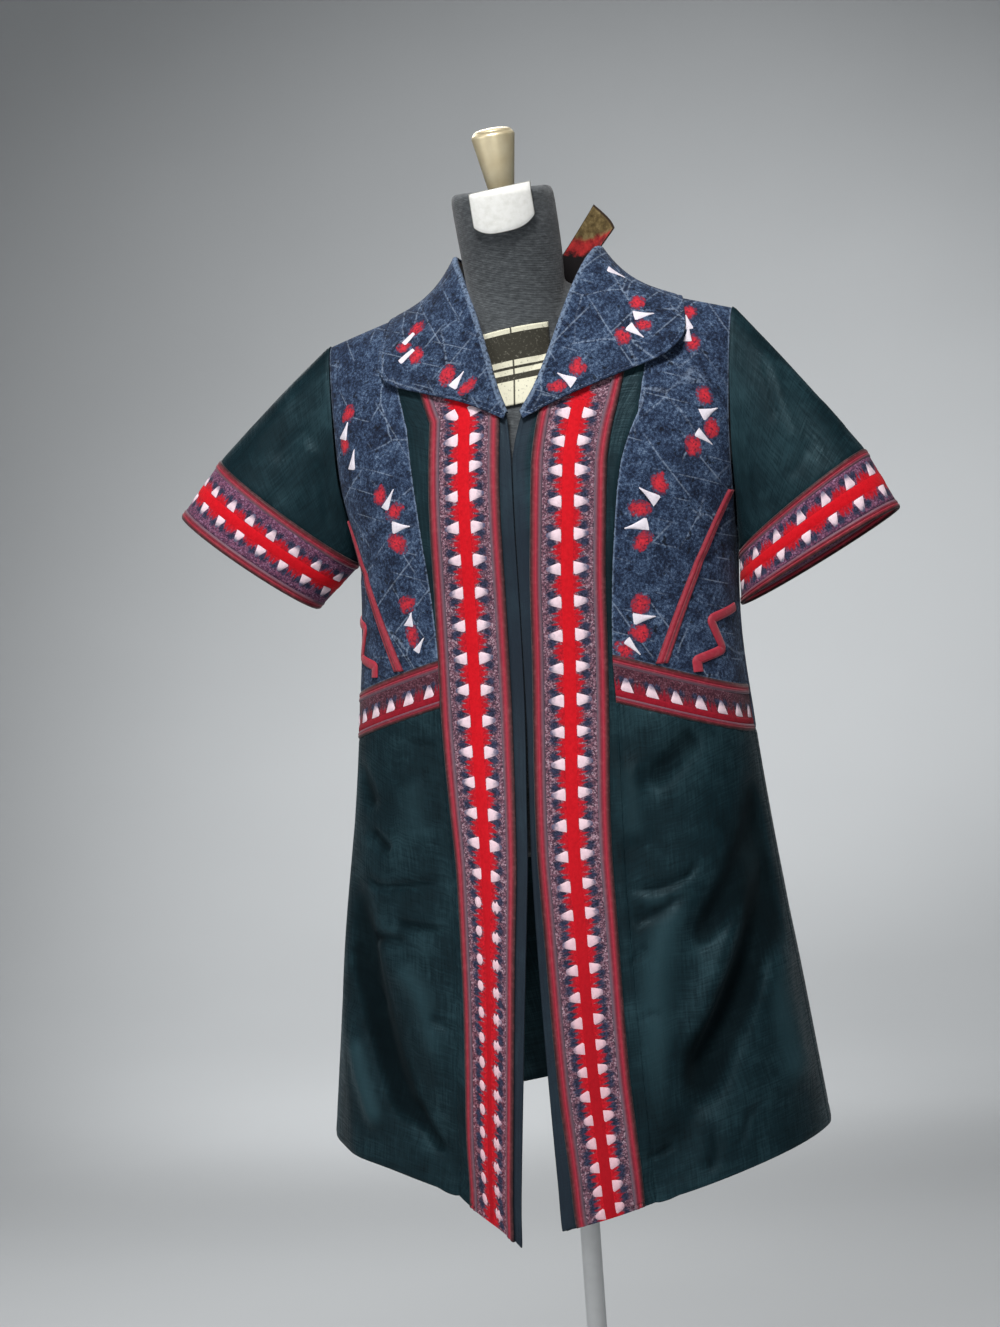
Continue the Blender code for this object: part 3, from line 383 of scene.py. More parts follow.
def padGrid(length, halfWidth, height, columns, rows):
    # across, along and height of a pad whose half width is given along its length
    w, run = np.meshgrid(np.linspace(-1.0, 1.0, columns + 1), np.linspace(0.0, 1.0, rows + 1))
    dome = np.sqrt(np.clip(1.0 - w**2, 0.0, 1.0)) * np.sqrt(np.clip(1.0 - (2 * run - 1) ** 6, 0.0, 1.0))
    return w * halfWidth(run), run * length, height * dome - needle["sink"]


def startPads():
    bm = bmesh.new()
    bm.loops.layers.uv.new("UVMap")
    return bm


def addPad(bm, places, flat, finish):
    rows, columns = places.shape[0] - 1, places.shape[1] - 1
    made = bmesh.ops.create_grid(bm, x_segments=columns, y_segments=rows, size=0.5)["verts"]
    uvLayer = bm.loops.layers.uv["UVMap"]
    for vert, spot in zip(made, places.reshape(-1, 3).tolist()):
        vert.co = spot
    uvs = dict(zip(made, flat.reshape(-1, 2).tolist()))
    for face in {face for vert in made for face in vert.link_faces}:
        face.smooth = True
        face.material_index = finish
        for loop in face.loops:
            loop[uvLayer].uv = uvs[loop.vert]


def taperTo(base, tip, bow=1.15):
    return lambda run: tip + (base - tip) * (1.0 - run) ** bow


def oval(half):
    return lambda run: half * np.sqrt(np.clip(1.0 - (2 * run - 1) ** 2, 0.0, 1.0))


def star(half):
    notches = (0.30, 0.85, 0.50, 1.0, 0.42, 0.34, 0.05)  # shares of the half width, from foot to point
    return lambda run: half * np.interp(run, np.linspace(0.0, 1.0, len(notches)), notches)


def sewMotifs(name, at, chart, centres, span, flip):
    # a red spine with white wedges standing out from it
    bm = startPads()
    spine = chart["spine"]
    runs = np.linspace(span[0], span[1], max(8, int((span[1] - span[0]) / needle["spineStep"])))
    rows = sorted(centres)
    narrow = mix(0.55, 1.0, ease(0.1, 0.5, np.interp(runs, *zip(*rows))))
    w, t = np.meshgrid(np.linspace(-1.0, 1.0, 7), runs)
    across = w * spine * narrow[:, None]
    height = needle["spineHeight"] * np.sqrt(1.0 - w**2) - needle["spineSink"]
    addPad(bm, at(across, t, height), np.stack((t, across), -1), 0)
    length, base, tip = chart["wedge"]
    for centre, size in centres:
        for way in chart["ways"]:
            jitter = chance.uniform(*needle["uneven"])
            outline = taperTo(base * mix(0.75, 1.0, size) * jitter, tip, chart["bow"] * mix(0.3, 1.0, size))
            long = length * mix(0.35, 1.0, size) * jitter
            start = spine * mix(0.80, 0.97, size)
            if size < needle["smallBelow"]:  # low down they are dots outside and stars inside
                start, long, wide = chart["dot" if way > 0 else "star"]
                outline = (oval if way > 0 else star)(wide * jitter)
            a, b, h = padGrid(long, outline, chart["height"], 6, 6)
            aside = centre + chance.uniform(-needle["stray"], needle["stray"])
            addPad(bm, at(way * (start + b), aside - way * a, h), np.stack((a, b / length), -1), 1)
    if flip:
        bmesh.ops.reverse_faces(bm, faces=bm.faces)
    return addPiece(name, bm, [chart["thread"], "wedgeThread"], False)


# Finishes
def dye(red, green, blue):
    # a colour, 0 to 255, made linear
    shares = [value / 255 for value in (red, green, blue)]
    return tuple(((share + 0.055) / 1.055) ** 2.4 if share > 0.04 else share / 12.92 for share in shares)


def socketOf(tree, name):
    return tree.nodes["Principled BSDF"].inputs[name]


def startFinish(name, roughness, specular, sheen=0.0, more=None):
    material = bpy.data.materials.new(name)
    material.use_nodes = True
    values = {"Roughness": roughness, "Specular IOR Level": specular, "Sheen Weight": sheen, **(more or {})}
    for socket, value in values.items():
        socketOf(material.node_tree, socket).default_value = value
    finishOf[name] = material
    return material.node_tree


def put(tree, kind, inputs, **settings):
    node = tree.nodes.new("ShaderNode" + kind)
    for key, value in settings.items():
        setattr(node, key, value)
    for key, value in inputs.items():
        if hasattr(value, "is_linked"):
            tree.links.new(value, node.inputs[key])
        elif isinstance(value, tuple) and node.inputs[key].type == "RGBA":
            node.inputs[key].default_value = (*value, 1.0)
        else:
            node.inputs[key].default_value = value
    return node


def calc(tree, operation, first, second):
    return put(tree, "Math", {0: first, 1: second}, operation=operation).outputs[0]


def times(tree, first, second):
    return calc(tree, "MULTIPLY", first, second)


def plus(tree, first, second):
    return calc(tree, "ADD", first, second)


def minus(tree, first, second):
    return calc(tree, "SUBTRACT", first, second)


def ramp(tree, factor, stops, mode="LINEAR"):
    node = put(tree, "ValToRGB", {"Fac": factor})
    node.color_ramp.interpolation = mode
    while len(node.color_ramp.elements) < len(stops):
        node.color_ramp.elements.new(0.5)
    for element, (position, colour) in zip(node.color_ramp.elements, stops):
        element.position = position
        element.color = (*colour, 1.0)
    return node.outputs["Color"]


def between(tree, value, low, high):
    node = put(tree, "MapRange", {"Value": value, "From Min": low, "From Max": high})
    node.interpolation_type = "SMOOTHSTEP"
    return node.outputs["Result"]


def tint(tree, factor, first, second):
    node = put(tree, "Mix", {}, data_type="RGBA")
    for key, value in ((0, factor), (6, first), (7, second)):
        if hasattr(value, "is_linked"):
            tree.links.new(value, node.inputs[key])
        else:
            node.inputs[key].default_value = (*value, 1.0) if isinstance(value, tuple) else value
    return node.outputs[2]


def clothSpot(tree, scale=(1.0, 1.0, 1.0), turn=0.0):
    spot = put(tree, "UVMap", {}, uv_map="UVMap").outputs["UV"]
    return put(tree, "Mapping", {"Vector": spot, "Scale": scale, "Rotation": (0.0, 0.0, turn)}).outputs[0]


def solidSpot(tree, scale=(1.0, 1.0, 1.0), turn=0.0):
    spot = put(tree, "TexCoord", {}).outputs["Object"]
    return put(tree, "Mapping", {"Vector": spot, "Scale": scale, "Rotation": (0.0, turn, 0.0)}).outputs[0]


def noise(tree, spot, scale, detail=2.0, rough=0.5):
    values = {"Vector": spot, "Scale": scale, "Detail": detail, "Roughness": rough}
    return put(tree, "TexNoise", values).outputs["Fac"]


def bands(tree, spot, pitch, way="X", warp=0.0):
    # soft parallel lines with this pitch in metres
    values = {"Vector": spot, "Scale": 0.31416 / pitch, "Distortion": warp, "Detail": 1.0}
    return put(tree, "TexWave", values, wave_type="BANDS", bands_direction=way).outputs["Fac"]


def mark(tree, name):
    return put(tree, "Attribute", {}, attribute_name=name).outputs["Fac"]


def raiseGrain(tree, height, strength, distance):
    bump = put(tree, "Bump", {"Height": height, "Strength": strength, "Distance": distance})
    tree.links.new(bump.outputs["Normal"], socketOf(tree, "Normal"))


def paint(tree, colour, roughness=None):
    tree.links.new(colour, socketOf(tree, "Base Color"))
    if roughness is not None:
        tree.links.new(roughness, socketOf(tree, "Roughness"))


finishOf = {}
# sateen tones; paintedTroughShade is painted shade for crease troughs, and lit also serves as painted
# highlight on crease ridges
sateenDye = {
    "deep": dye(5, 14, 18), "mid": dye(15, 33, 39), "lit": dye(38, 62, 69),
    "paintedTroughShade": dye(3, 8, 11), "facing": dye(44, 48, 60),
}


def makeSateen(name, dyes, sheen):
    tints = {"Sheen Tint": (0.45, 0.62, 0.70, 1.0), "Specular Tint": (0.6, 0.88, 1.0, 1.0)}
    tree = startFinish(name, 0.45, 0.14, sheen, {"Sheen Roughness": 0.4, **tints})
    wash = noise(tree, solidSpot(tree), 16.0, 4.0, 0.6)
    slub = noise(tree, clothSpot(tree, (1.0, 0.06, 1.0)), 520.0, 3.0, 0.6)
    weft = noise(tree, clothSpot(tree, (0.05, 1.0, 1.0)), 620.0, 3.0, 0.6)
    thread = plus(tree, times(tree, slub, 0.5), times(tree, weft, 0.5))
    tone = plus(tree, times(tree, wash, 0.5), times(tree, thread, 0.5))
    stops = ((0.34, dyes["deep"]), (0.5, dyes["mid"]), (0.66, dyes["lit"]))
    colour = ramp(tree, tone, stops)
    # painted shade darkens the creases' troughs and painted highlight lightens their ridges
    fold = mark(tree, "fold")
    colour = tint(tree, times(tree, between(tree, fold, 0.03, 0.75), 0.80), colour, dyes["paintedTroughShade"])
    colour = tint(tree, times(tree, between(tree, fold, -0.05, -0.7), 0.85), colour, dyes["lit"])
    colour = tint(tree, times(tree, mark(tree, "facing"), 0.55), colour, dyes["facing"])
    matt = calc(tree, "MAXIMUM", between(tree, thread, 0.9, 0.05), between(tree, fold, 0.0, 0.4))
    paint(tree, colour, matt)
    weave = times(tree, bands(tree, clothSpot(tree), 0.0008), bands(tree, clothSpot(tree), 0.0006, "Y"))
    raiseGrain(tree, plus(tree, times(tree, weave, 0.4), thread), 0.35, 0.0006)


denimDye = {
    "stops": (
        (0.37, dye(11, 17, 31)),
        (0.44, dye(21, 32, 53)),
        (0.50, dye(38, 53, 78)),
        (0.56, dye(64, 83, 111)),
        (0.65, dye(113, 131, 154)),
    ),
    "line": dye(150, 166, 188),
    "worn": dye(122, 140, 164),
    "speck": dye(10, 14, 24),
}


def denimColour(tree, spot):
    # washed twill: clouds, flecks and grit of faded indigo
    cloud = noise(tree, spot, 62.0, 3.0, 0.6)
    fleck = noise(tree, spot, 360.0, 3.0, 0.65)
    grit = noise(tree, spot, 1150.0, 2.0, 0.6)
    tone = plus(tree, times(tree, cloud, 0.30), times(tree, fleck, 0.42))
    tone = plus(tree, tone, times(tree, grit, 0.28))
    return ramp(tree, tone, denimDye["stops"]), fleck


def makeDenim(name, rimLight):
    tree = startFinish(name, 0.86, 0.15, 0.06, {"Sheen Roughness": 0.5})
    spot = solidSpot(tree)
    colour, fleck = denimColour(tree, spot)
    bent = put(tree, "TexNoise", {"Vector": spot, "Scale": 22.0, "Detail": 2.0}).outputs["Color"]
    bentSpot = put(tree, "MixRGB", {"Fac": 0.014, "Color1": spot, "Color2": bent}, blend_type="ADD")
    values = {"Vector": bentSpot.outputs[0], "Scale": 17.0}
    cracks = put(tree, "TexVoronoi", values, feature="DISTANCE_TO_EDGE")
    thin = between(tree, cracks.outputs[0], 0.022, 0.004)
    some = between(tree, noise(tree, spot, 13.0, 2.0), 0.48, 0.58)
    crackle = times(tree, times(tree, thin, some), between(tree, fleck, 0.35, 0.6))
    colour = tint(tree, times(tree, crackle, 0.45), colour, denimDye["line"])
    # straight scratches
    for turn, pitch, seed in ((0.55, 0.029, 15.0), (1.25, 0.023, 19.0), (2.35, 0.034, 12.0)):
        line = between(tree, bands(tree, solidSpot(tree, turn=turn), pitch, "X", 0.5), 0.990, 0.999)
        here = between(tree, noise(tree, spot, seed, 2.0), 0.50, 0.60)
        line = times(tree, times(tree, line, here), between(tree, fleck, 0.30, 0.55))
        colour = tint(tree, times(tree, line, 0.4), colour, denimDye["line"])
    rim = between(tree, mark(tree, "rim"), 0.0028, 0.0010)
    rim = times(tree, times(tree, rim, between(tree, fleck, 0.3, 0.6)), rimLight)
    colour = tint(tree, rim, colour, denimDye["worn"])
    specks = between(tree, noise(tree, spot, 150.0, 1.0), 0.33, 0.27)
    colour = tint(tree, times(tree, specks, 0.8), colour, denimDye["speck"])
    paint(tree, colour)
    twill = bands(tree, clothSpot(tree, turn=math.radians(58)), 0.0011)
    grain = plus(tree, times(tree, twill, 0.5), times(tree, fleck, 0.8))
    raiseGrain(tree, grain, 0.5, 0.0008)


def makeSprigRed(name):
    # soft red stitching that thins out into the denim at its edge
    tree = startFinish(name, 0.8, 0.15, 0.08)
    spot = solidSpot(tree)
    denim, fleck = denimColour(tree, spot)
    far = put(tree, "VectorMath", {0: clothSpot(tree)}, operation="LENGTH").outputs["Value"]
    rough = plus(tree, times(tree, noise(tree, spot, 150.0, 2.0, 0.6), 1.1), fleck)
    ragged = plus(tree, far, minus(tree, rough, 1.05))
    red = ramp(tree, ragged, ((0.15, dye(198, 42, 56)), (0.5, dye(166, 38, 54)), (0.75, dye(120, 40, 60))))
    red = tint(tree, between(tree, noise(tree, spot, 420.0, 2.0, 0.6), 0.55, 0.3), red, dye(96, 28, 46))
    colour = tint(tree, between(tree, ragged, 0.50, 0.92), red, denim)
    paint(tree, colour)
    raiseGrain(tree, fleck, 0.5, 0.0006)


def makeThread(name, shadow, light, pitch=0.0009, gloss=0.25, tip=None, low=None):
    tree = startFinish(name, 0.66, gloss, 0.4 * gloss)
    strand = bands(tree, clothSpot(tree), pitch, "X", 0.6)
    uneven = noise(tree, solidSpot(tree), 260.0, 3.0, 0.6)
    tone = plus(tree, times(tree, strand, 0.35), times(tree, uneven, 0.65))
    colour = ramp(tree, tone, ((0.25, shadow), (0.62, light)))
    if low:  # duller towards the hem
        height = put(tree, "SeparateXYZ", {"Vector": solidSpot(tree)}).outputs["Z"]
        colour = tint(tree, times(tree, between(tree, height, 1.02, 0.62), 0.5), colour, low)
    if tip:  # the outer end thins into the cloth
        end = put(tree, "SeparateXYZ", {"Vector": clothSpot(tree)}).outputs["Y"]
        end = plus(tree, end, times(tree, minus(tree, uneven, 0.5), 0.7))
        colour = tint(tree, between(tree, end, 0.42, 0.98), colour, tip)
    paint(tree, colour)
    raiseGrain(tree, plus(tree, strand, uneven), 0.45, 0.0005)


def makeGround(name, look, dyes, streaks):
    # speckled cloth under the needlework, with feathered red flames between the wedges and navy beside them
    tree = startFinish(name, 0.85, 0.15, 0.05)
    spot = solidSpot(tree)
    cells = put(tree, "TexVoronoi", {"Vector": spot, "Scale": 820.0}).outputs["Color"]
    level = put(tree, "SeparateColor", {"Color": cells}).outputs[0]
    level = plus(tree, times(tree, level, 0.6), times(tree, noise(tree, spot, 330.0), 0.4))
    colour = tint(tree, times(tree, mark(tree, "faded"), 0.7), ramp(tree, level, dyes),
                  ramp(tree, level, fadedStops))
    ragged = minus(tree, noise(tree, clothSpot(tree, streaks), 480.0, 3.0, 0.65), 0.5)
    across = calc(tree, "ABSOLUTE", mark(tree, "spine"), 0.0)
    out, aside, half = look["navy"]
    away = put(tree, "CombineXYZ", {"X": minus(tree, mark(tree, "tooth"), aside),
                                    "Y": minus(tree, across, out)}).outputs[0]
    away = put(tree, "VectorMath", {0: away}, operation="LENGTH").outputs["Value"]
    away = plus(tree, away, times(tree, ragged, 0.010))
    navy = ramp(tree, level, ((0.2, dye(24, 28, 46)), (0.8, dye(58, 62, 88))))
    colour = tint(tree, between(tree, away, 1.35 * half, 0.5 * half), colour, navy)
    base, length, wide = look["flame"]
    reach = ramp(tree, calc(tree, "DIVIDE", mark(tree, "gap"), wide), flameStops, "EASE")
    reach = plus(tree, times(tree, reach, length), base)
    reach = minus(tree, reach, times(tree, mark(tree, "faded"), 0.4 * base))
    edge = minus(tree, minus(tree, across, reach), times(tree, ragged, 0.020))
    deep, bright, far = look["red"]
    red = ramp(tree, noise(tree, spot, 420.0, 2.0, 0.6), ((0.3, deep), (0.62, bright)))
    red = tint(tree, between(tree, across, base, base + 1.3 * length), red, far)
    paint(tree, tint(tree, between(tree, edge, 0.0026, -0.0020), colour, red))
    raiseGrain(tree, plus(tree, noise(tree, spot, 900.0, 2.0), level), 0.5, 0.0007)


def makeRibbon(name, stops):
    tree = startFinish(name, 0.6, 0.3, 0.15)
    # colour across a ribbon or tape by its cross mark; the ribbon's stops hold painted shade at its outer
    # edge
    colour = ramp(tree, mark(tree, "cross"), stops)
    worn = noise(tree, solidSpot(tree), 210.0, 3.0, 0.6)
    colour = tint(tree, times(tree, between(tree, worn, 0.45, 0.75), 0.12), colour, dye(205, 120, 126))
    paint(tree, colour)
    ribs = bands(tree, clothSpot(tree), 0.0013, "Y")
    raiseGrain(tree, plus(tree, ribs, worn), 0.4, 0.0005)


def makeOlive():
    # the stand is painted near black inside as shade, red at the foot of its raised corner and olive above
    tree = startFinish("oliveCloth", 0.75, 0.15, 0.08)
    spot = solidSpot(tree)
    tone = noise(tree, spot, 150.0, 3.0, 0.6)
    olive = ramp(tree, tone, ((0.3, dye(62, 50, 28)), (0.5, dye(94, 79, 48)), (0.72, dye(130, 114, 78))))
    rise = plus(tree, mark(tree, "rise"), times(tree, minus(tree, tone, 0.5), 0.012))
    red = ramp(tree, tone, ((0.3, dye(92, 16, 22)), (0.65, dye(178, 44, 44))))
    # painted shade: near black wherever the stand is not raised
    colour = tint(tree, between(tree, rise, 0.009, 0.014), dye(18, 14, 16), red)
    colour = tint(tree, between(tree, rise, 0.021, 0.028), colour, olive)
    colour = tint(tree, between(tree, mark(tree, "rim"), 0.0030, 0.0014), colour, dye(44, 30, 18))
    paint(tree, colour)
    weave = times(tree, bands(tree, clothSpot(tree), 0.001), bands(tree, clothSpot(tree), 0.001, "Y"))
    raiseGrain(tree, plus(tree, weave, tone), 0.4, 0.0006)


def makeJersey():
    tree = startFinish("greyJersey", 0.92, 0.15, 0.2)
    spot = solidSpot(tree)
    heather = noise(tree, solidSpot(tree, (0.35, 0.35, 1.0)), 420.0, 3.0, 0.65)
    cloud = noise(tree, spot, 30.0, 2.0)
    tone = plus(tree, times(tree, heather, 0.75), times(tree, cloud, 0.25))
    stops = ((0.32, dye(56, 59, 62)), (0.5, dye(76, 80, 83)), (0.68, dye(100, 104, 107)))
    paint(tree, ramp(tree, tone, stops))
    courses = bands(tree, spot, 0.0016, "Z", 0.4)
    raiseGrain(tree, plus(tree, times(tree, courses, 0.5), heather), 0.5, 0.0006)


def makeFormFinishes():
    tree = startFinish("satinBrass", 0.3, 0.5, more={"Metallic": 0.6})
    streak = noise(tree, solidSpot(tree, (1.0, 1.0, 0.02)), 900.0, 3.0, 0.6)
    stain = noise(tree, solidSpot(tree), 60.0, 3.0)
    paint(tree, ramp(tree, stain, ((0.3, dye(232, 214, 172)), (0.7, dye(248, 234, 198)))),
          between(tree, streak, -0.9, 2.4))
    raiseGrain(tree, streak, 0.12, 0.0004)

    tree = startFinish("paleTab", 0.55, 0.3)
    mottle = noise(tree, solidSpot(tree), 150.0, 3.0, 0.6)
    colour = ramp(tree, mottle, ((0.3, dye(240, 240, 234)), (0.6, dye(254, 254, 250))))
    colour = tint(tree, between(tree, mark(tree, "rim"), 0.0012, 0.0003), colour, dye(176, 176, 168))
    paint(tree, colour)
    raiseGrain(tree, noise(tree, solidSpot(tree), 700.0, 2.0), 0.25, 0.0004)

    tree = startFinish("paleEnamel", 0.38, 0.5, more={"Coat Weight": 0.2})
    wear = noise(tree, solidSpot(tree), 24.0, 4.0, 0.6)
    paint(tree, ramp(tree, wear, ((0.3, dye(188, 190, 191)), (0.7, dye(204, 206, 207)))))
    raiseGrain(tree, noise(tree, solidSpot(tree), 520.0, 2.0), 0.12, 0.0005)

    tree = startFinish("wovenLabel", 0.8, 0.2, 0.1)
    cream, ink = dye(224, 221, 198), dye(56, 54, 46)
    stops = (
        (0.0, cream), (0.32, ink), (0.40, cream), (0.47, ink), (0.505, cream), (0.585, ink), (0.93, cream),
    )
    colour = ramp(tree, mark(tree, "height"), stops, "CONSTANT")
    # painted shade: a thin ink-coloured line along the label's crease
    colour = tint(tree, between(tree, mark(tree, "crease"), 0.0013, 0.0006), colour, ink)
    worn = noise(tree, solidSpot(tree), 420.0, 3.0, 0.6)
    colour = tint(tree, between(tree, worn, 0.55, 0.8), colour, dye(130, 128, 116))
    paint(tree, colour)
    raiseGrain(tree, bands(tree, clothSpot(tree), 0.0011, "Y"), 0.4, 0.0004)

    tree = startFinish("studioFloor", 0.9, 0.1)
    patch = noise(tree, solidSpot(tree), 0.6, 3.0)
    paint(tree, ramp(tree, patch, ((0.3, dye(196, 199, 201)), (0.7, dye(202, 205, 207)))))


makeSateen("darkSateen", sateenDye, 0.05)
makeDenim("washedDenim", 0.65)
makeThread("redThread", dye(180, 9, 24), dye(218, 20, 34), gloss=0.08, low=dye(134, 14, 30))
makeThread("crimsonThread", dye(112, 12, 28), dye(158, 26, 44), gloss=0.08)
makeThread("whiteThread", dye(206, 198, 210), dye(238, 232, 241))
makeThread("wedgeThread", dye(220, 188, 200), dye(248, 224, 233), tip=dye(84, 84, 112),
           low=dye(222, 158, 170))
makeSprigRed("washedRed")
makeThread("paleThread", dye(74, 90, 116), dye(118, 134, 158), 0.0006)
speckleStops = (
    (0.15, dye(48, 38, 52)), (0.35, dye(84, 58, 72)), (0.5, dye(110, 74, 88)),
    (0.65, dye(134, 98, 112)), (0.85, dye(176, 152, 164)),
)
fadedStops = (
    (0.15, dye(66, 30, 42)), (0.35, dye(98, 44, 58)), (0.6, dye(126, 66, 80)), (0.85, dye(176, 132, 144)),
)
cuffStops = (
    (0.0, dye(30, 28, 52)), (0.3, dye(74, 46, 72)), (0.6, dye(116, 68, 92)),
    (0.8, dye(138, 100, 128)), (0.95, dye(176, 164, 190)),
)
waistStops = (
    (0.0, dye(24, 18, 28)), (0.3, dye(62, 30, 42)), (0.6, dye(88, 46, 58)),
    (0.8, dye(110, 74, 86)), (0.95, dye(150, 130, 142)),
)
flameStops = tuple((place, (reach,) * 3) for place, reach in (
    (0.0, 1.0), (0.10, 0.80), (0.20, 0.40), (0.36, 0.82), (0.50, 0.36), (0.66, 0.04), (1.0, 0.0),
))
bandReds = (dye(150, 12, 26), dye(204, 20, 36), dye(152, 26, 44))
waistReds = (dye(104, 14, 28), dye(150, 28, 46), dye(130, 28, 46))
look = {"flame": (0.0056, 0.0098, 0.0150), "navy": (0.0160, 0.0074, 0.0050), "red": bandReds}
makeGround("bandGround", look, speckleStops, (0.2, 1.0, 1.0))
look = {"flame": (0.0052, 0.0086, 0.0130), "navy": (0.0140, 0.0066, 0.0042), "red": bandReds}
makeGround("cuffGround", look, cuffStops, (1.0, 0.2, 1.0))
look = {"flame": (0.0030, 0.0105, 0.0110), "navy": (0.0150, 0.0052, 0.0032), "red": waistReds}
makeGround("waistGround", look, waistStops, (1.0, 0.2, 1.0))
# mauve-grey, rosy red, then painted shade darkening to near black at the ribbon's outer edge
ribbonStopsWithEdgeShade = (
    (0.0, dye(98, 88, 102)), (0.18, dye(110, 66, 80)), (0.28, dye(114, 18, 40)), (0.45, dye(172, 36, 60)),
    (0.62, dye(148, 24, 46)), (0.75, dye(96, 12, 26)), (0.88, dye(52, 6, 14)), (1.0, dye(30, 6, 12)),
)
tapeStops = (
    (0.0, dye(112, 16, 36)), (0.28, dye(166, 38, 58)), (0.54, dye(150, 32, 52)), (0.66, dye(70, 10, 24)),
    (0.80, dye(160, 42, 60)), (1.0, dye(104, 16, 34)),
)
makeRibbon("mauveRibbon", ribbonStopsWithEdgeShade)
makeRibbon("seamTape", tapeStops)
makeOlive()
makeJersey()
makeFormFinishes()
print("finishes:", len(finishOf))

# Fronts: edge strip, ribbon, needlework, ribbon and a plain strip, then the skirt and the bodice
front = {
    "edgeGap": 0.0006, "neckX": 0.072, "vLevel": 1.2715, "vHalf": {left: 0.0140, right: 0.0055},
    "closeLevel": 1.225, "openLevel": 0.860,
    "hemGap": {left: 0.016, right: 0.0215}, "hemTip": {left: 0.508, right: 0.483},
    "ribbon": 0.008, "band": 0.054, "topX": 0.140,
    "across": {  # level, edge strip, share of the band's full width, outer strip
        left: (
            (0.51, 0.0155, 0.880, 0.0113), (0.60, 0.0125, 0.903, 0.0126), (0.66, 0.0100, 0.918, 0.0138),
            (0.80, 0.0090, 0.954, 0.0126), (0.90, 0.0070, 0.980, 0.0130), (0.98, 0.0080, 1.000, 0.0102),
            (1.05, 0.0105, 1.000, 0.0058), (1.13, 0.0132, 1.000, 0.0078), (1.20, 0.0185, 1.000, 0.0112),
            (1.235, 0.0205, 1.000, 0.0155), (1.28, 0.0160, 1.000, 0.0236),
        ),
        right: (
            (0.48, 0.0075, 0.700, 0.0150), (0.60, 0.0085, 0.725, 0.0125), (0.72, 0.0102, 0.760, 0.0100),
            (0.80, 0.0115, 0.820, 0.0082), (0.86, 0.0118, 0.880, 0.0068), (0.92, 0.0122, 0.950, 0.0055),
            (0.99, 0.0135, 1.000, 0.0040), (1.05, 0.0140, 1.000, 0.0022), (1.12, 0.0140, 1.000, 0.0060),
            (1.20, 0.0140, 1.000, 0.0155), (1.235, 0.0125, 1.000, 0.0212), (1.28, 0.0050, 1.000, 0.0285),
        ),
    },
    "hemFront": {left: 0.512, right: 0.526}, "hemBack": 0.622, "hemSide": {left: 0.578, right: 0.590},
    "hemCurve": {left: 1.3, right: 1.0}, "tipDrop": {left: 0.004, right: 0.052}, "tipReach": 0.035,
    "hemEase": 14.0, "hemRows": 12,
    "waistSide": 0.976, "riseFront": 0.053, "riseBack": 0.018, "crook": 0.008,
    "waistStrips": (0.005, 0.0305, 0.009),
    "seamFootX": 0.131, "seamTop": 1.208, "seamBow": math.radians(2.5),
    "trimWall": 0.0008, "trimLift": 0.0018, "ribbonOver": 0.0013, "ribbonLift": 0.0004, "ribbonCord": 0.0011,
    "stitchLines": (0.0035, 0.0105), "stitchWidth": 0.0011, "stitchDeep": 0.0005, "facing": (0.016, 0.011),
    "pucker": (0.0003, 0.006, 620.0, 900.0),  # depth, reach, waves up and across
}
bandWidth = 2 * front["ribbon"] + front["band"]
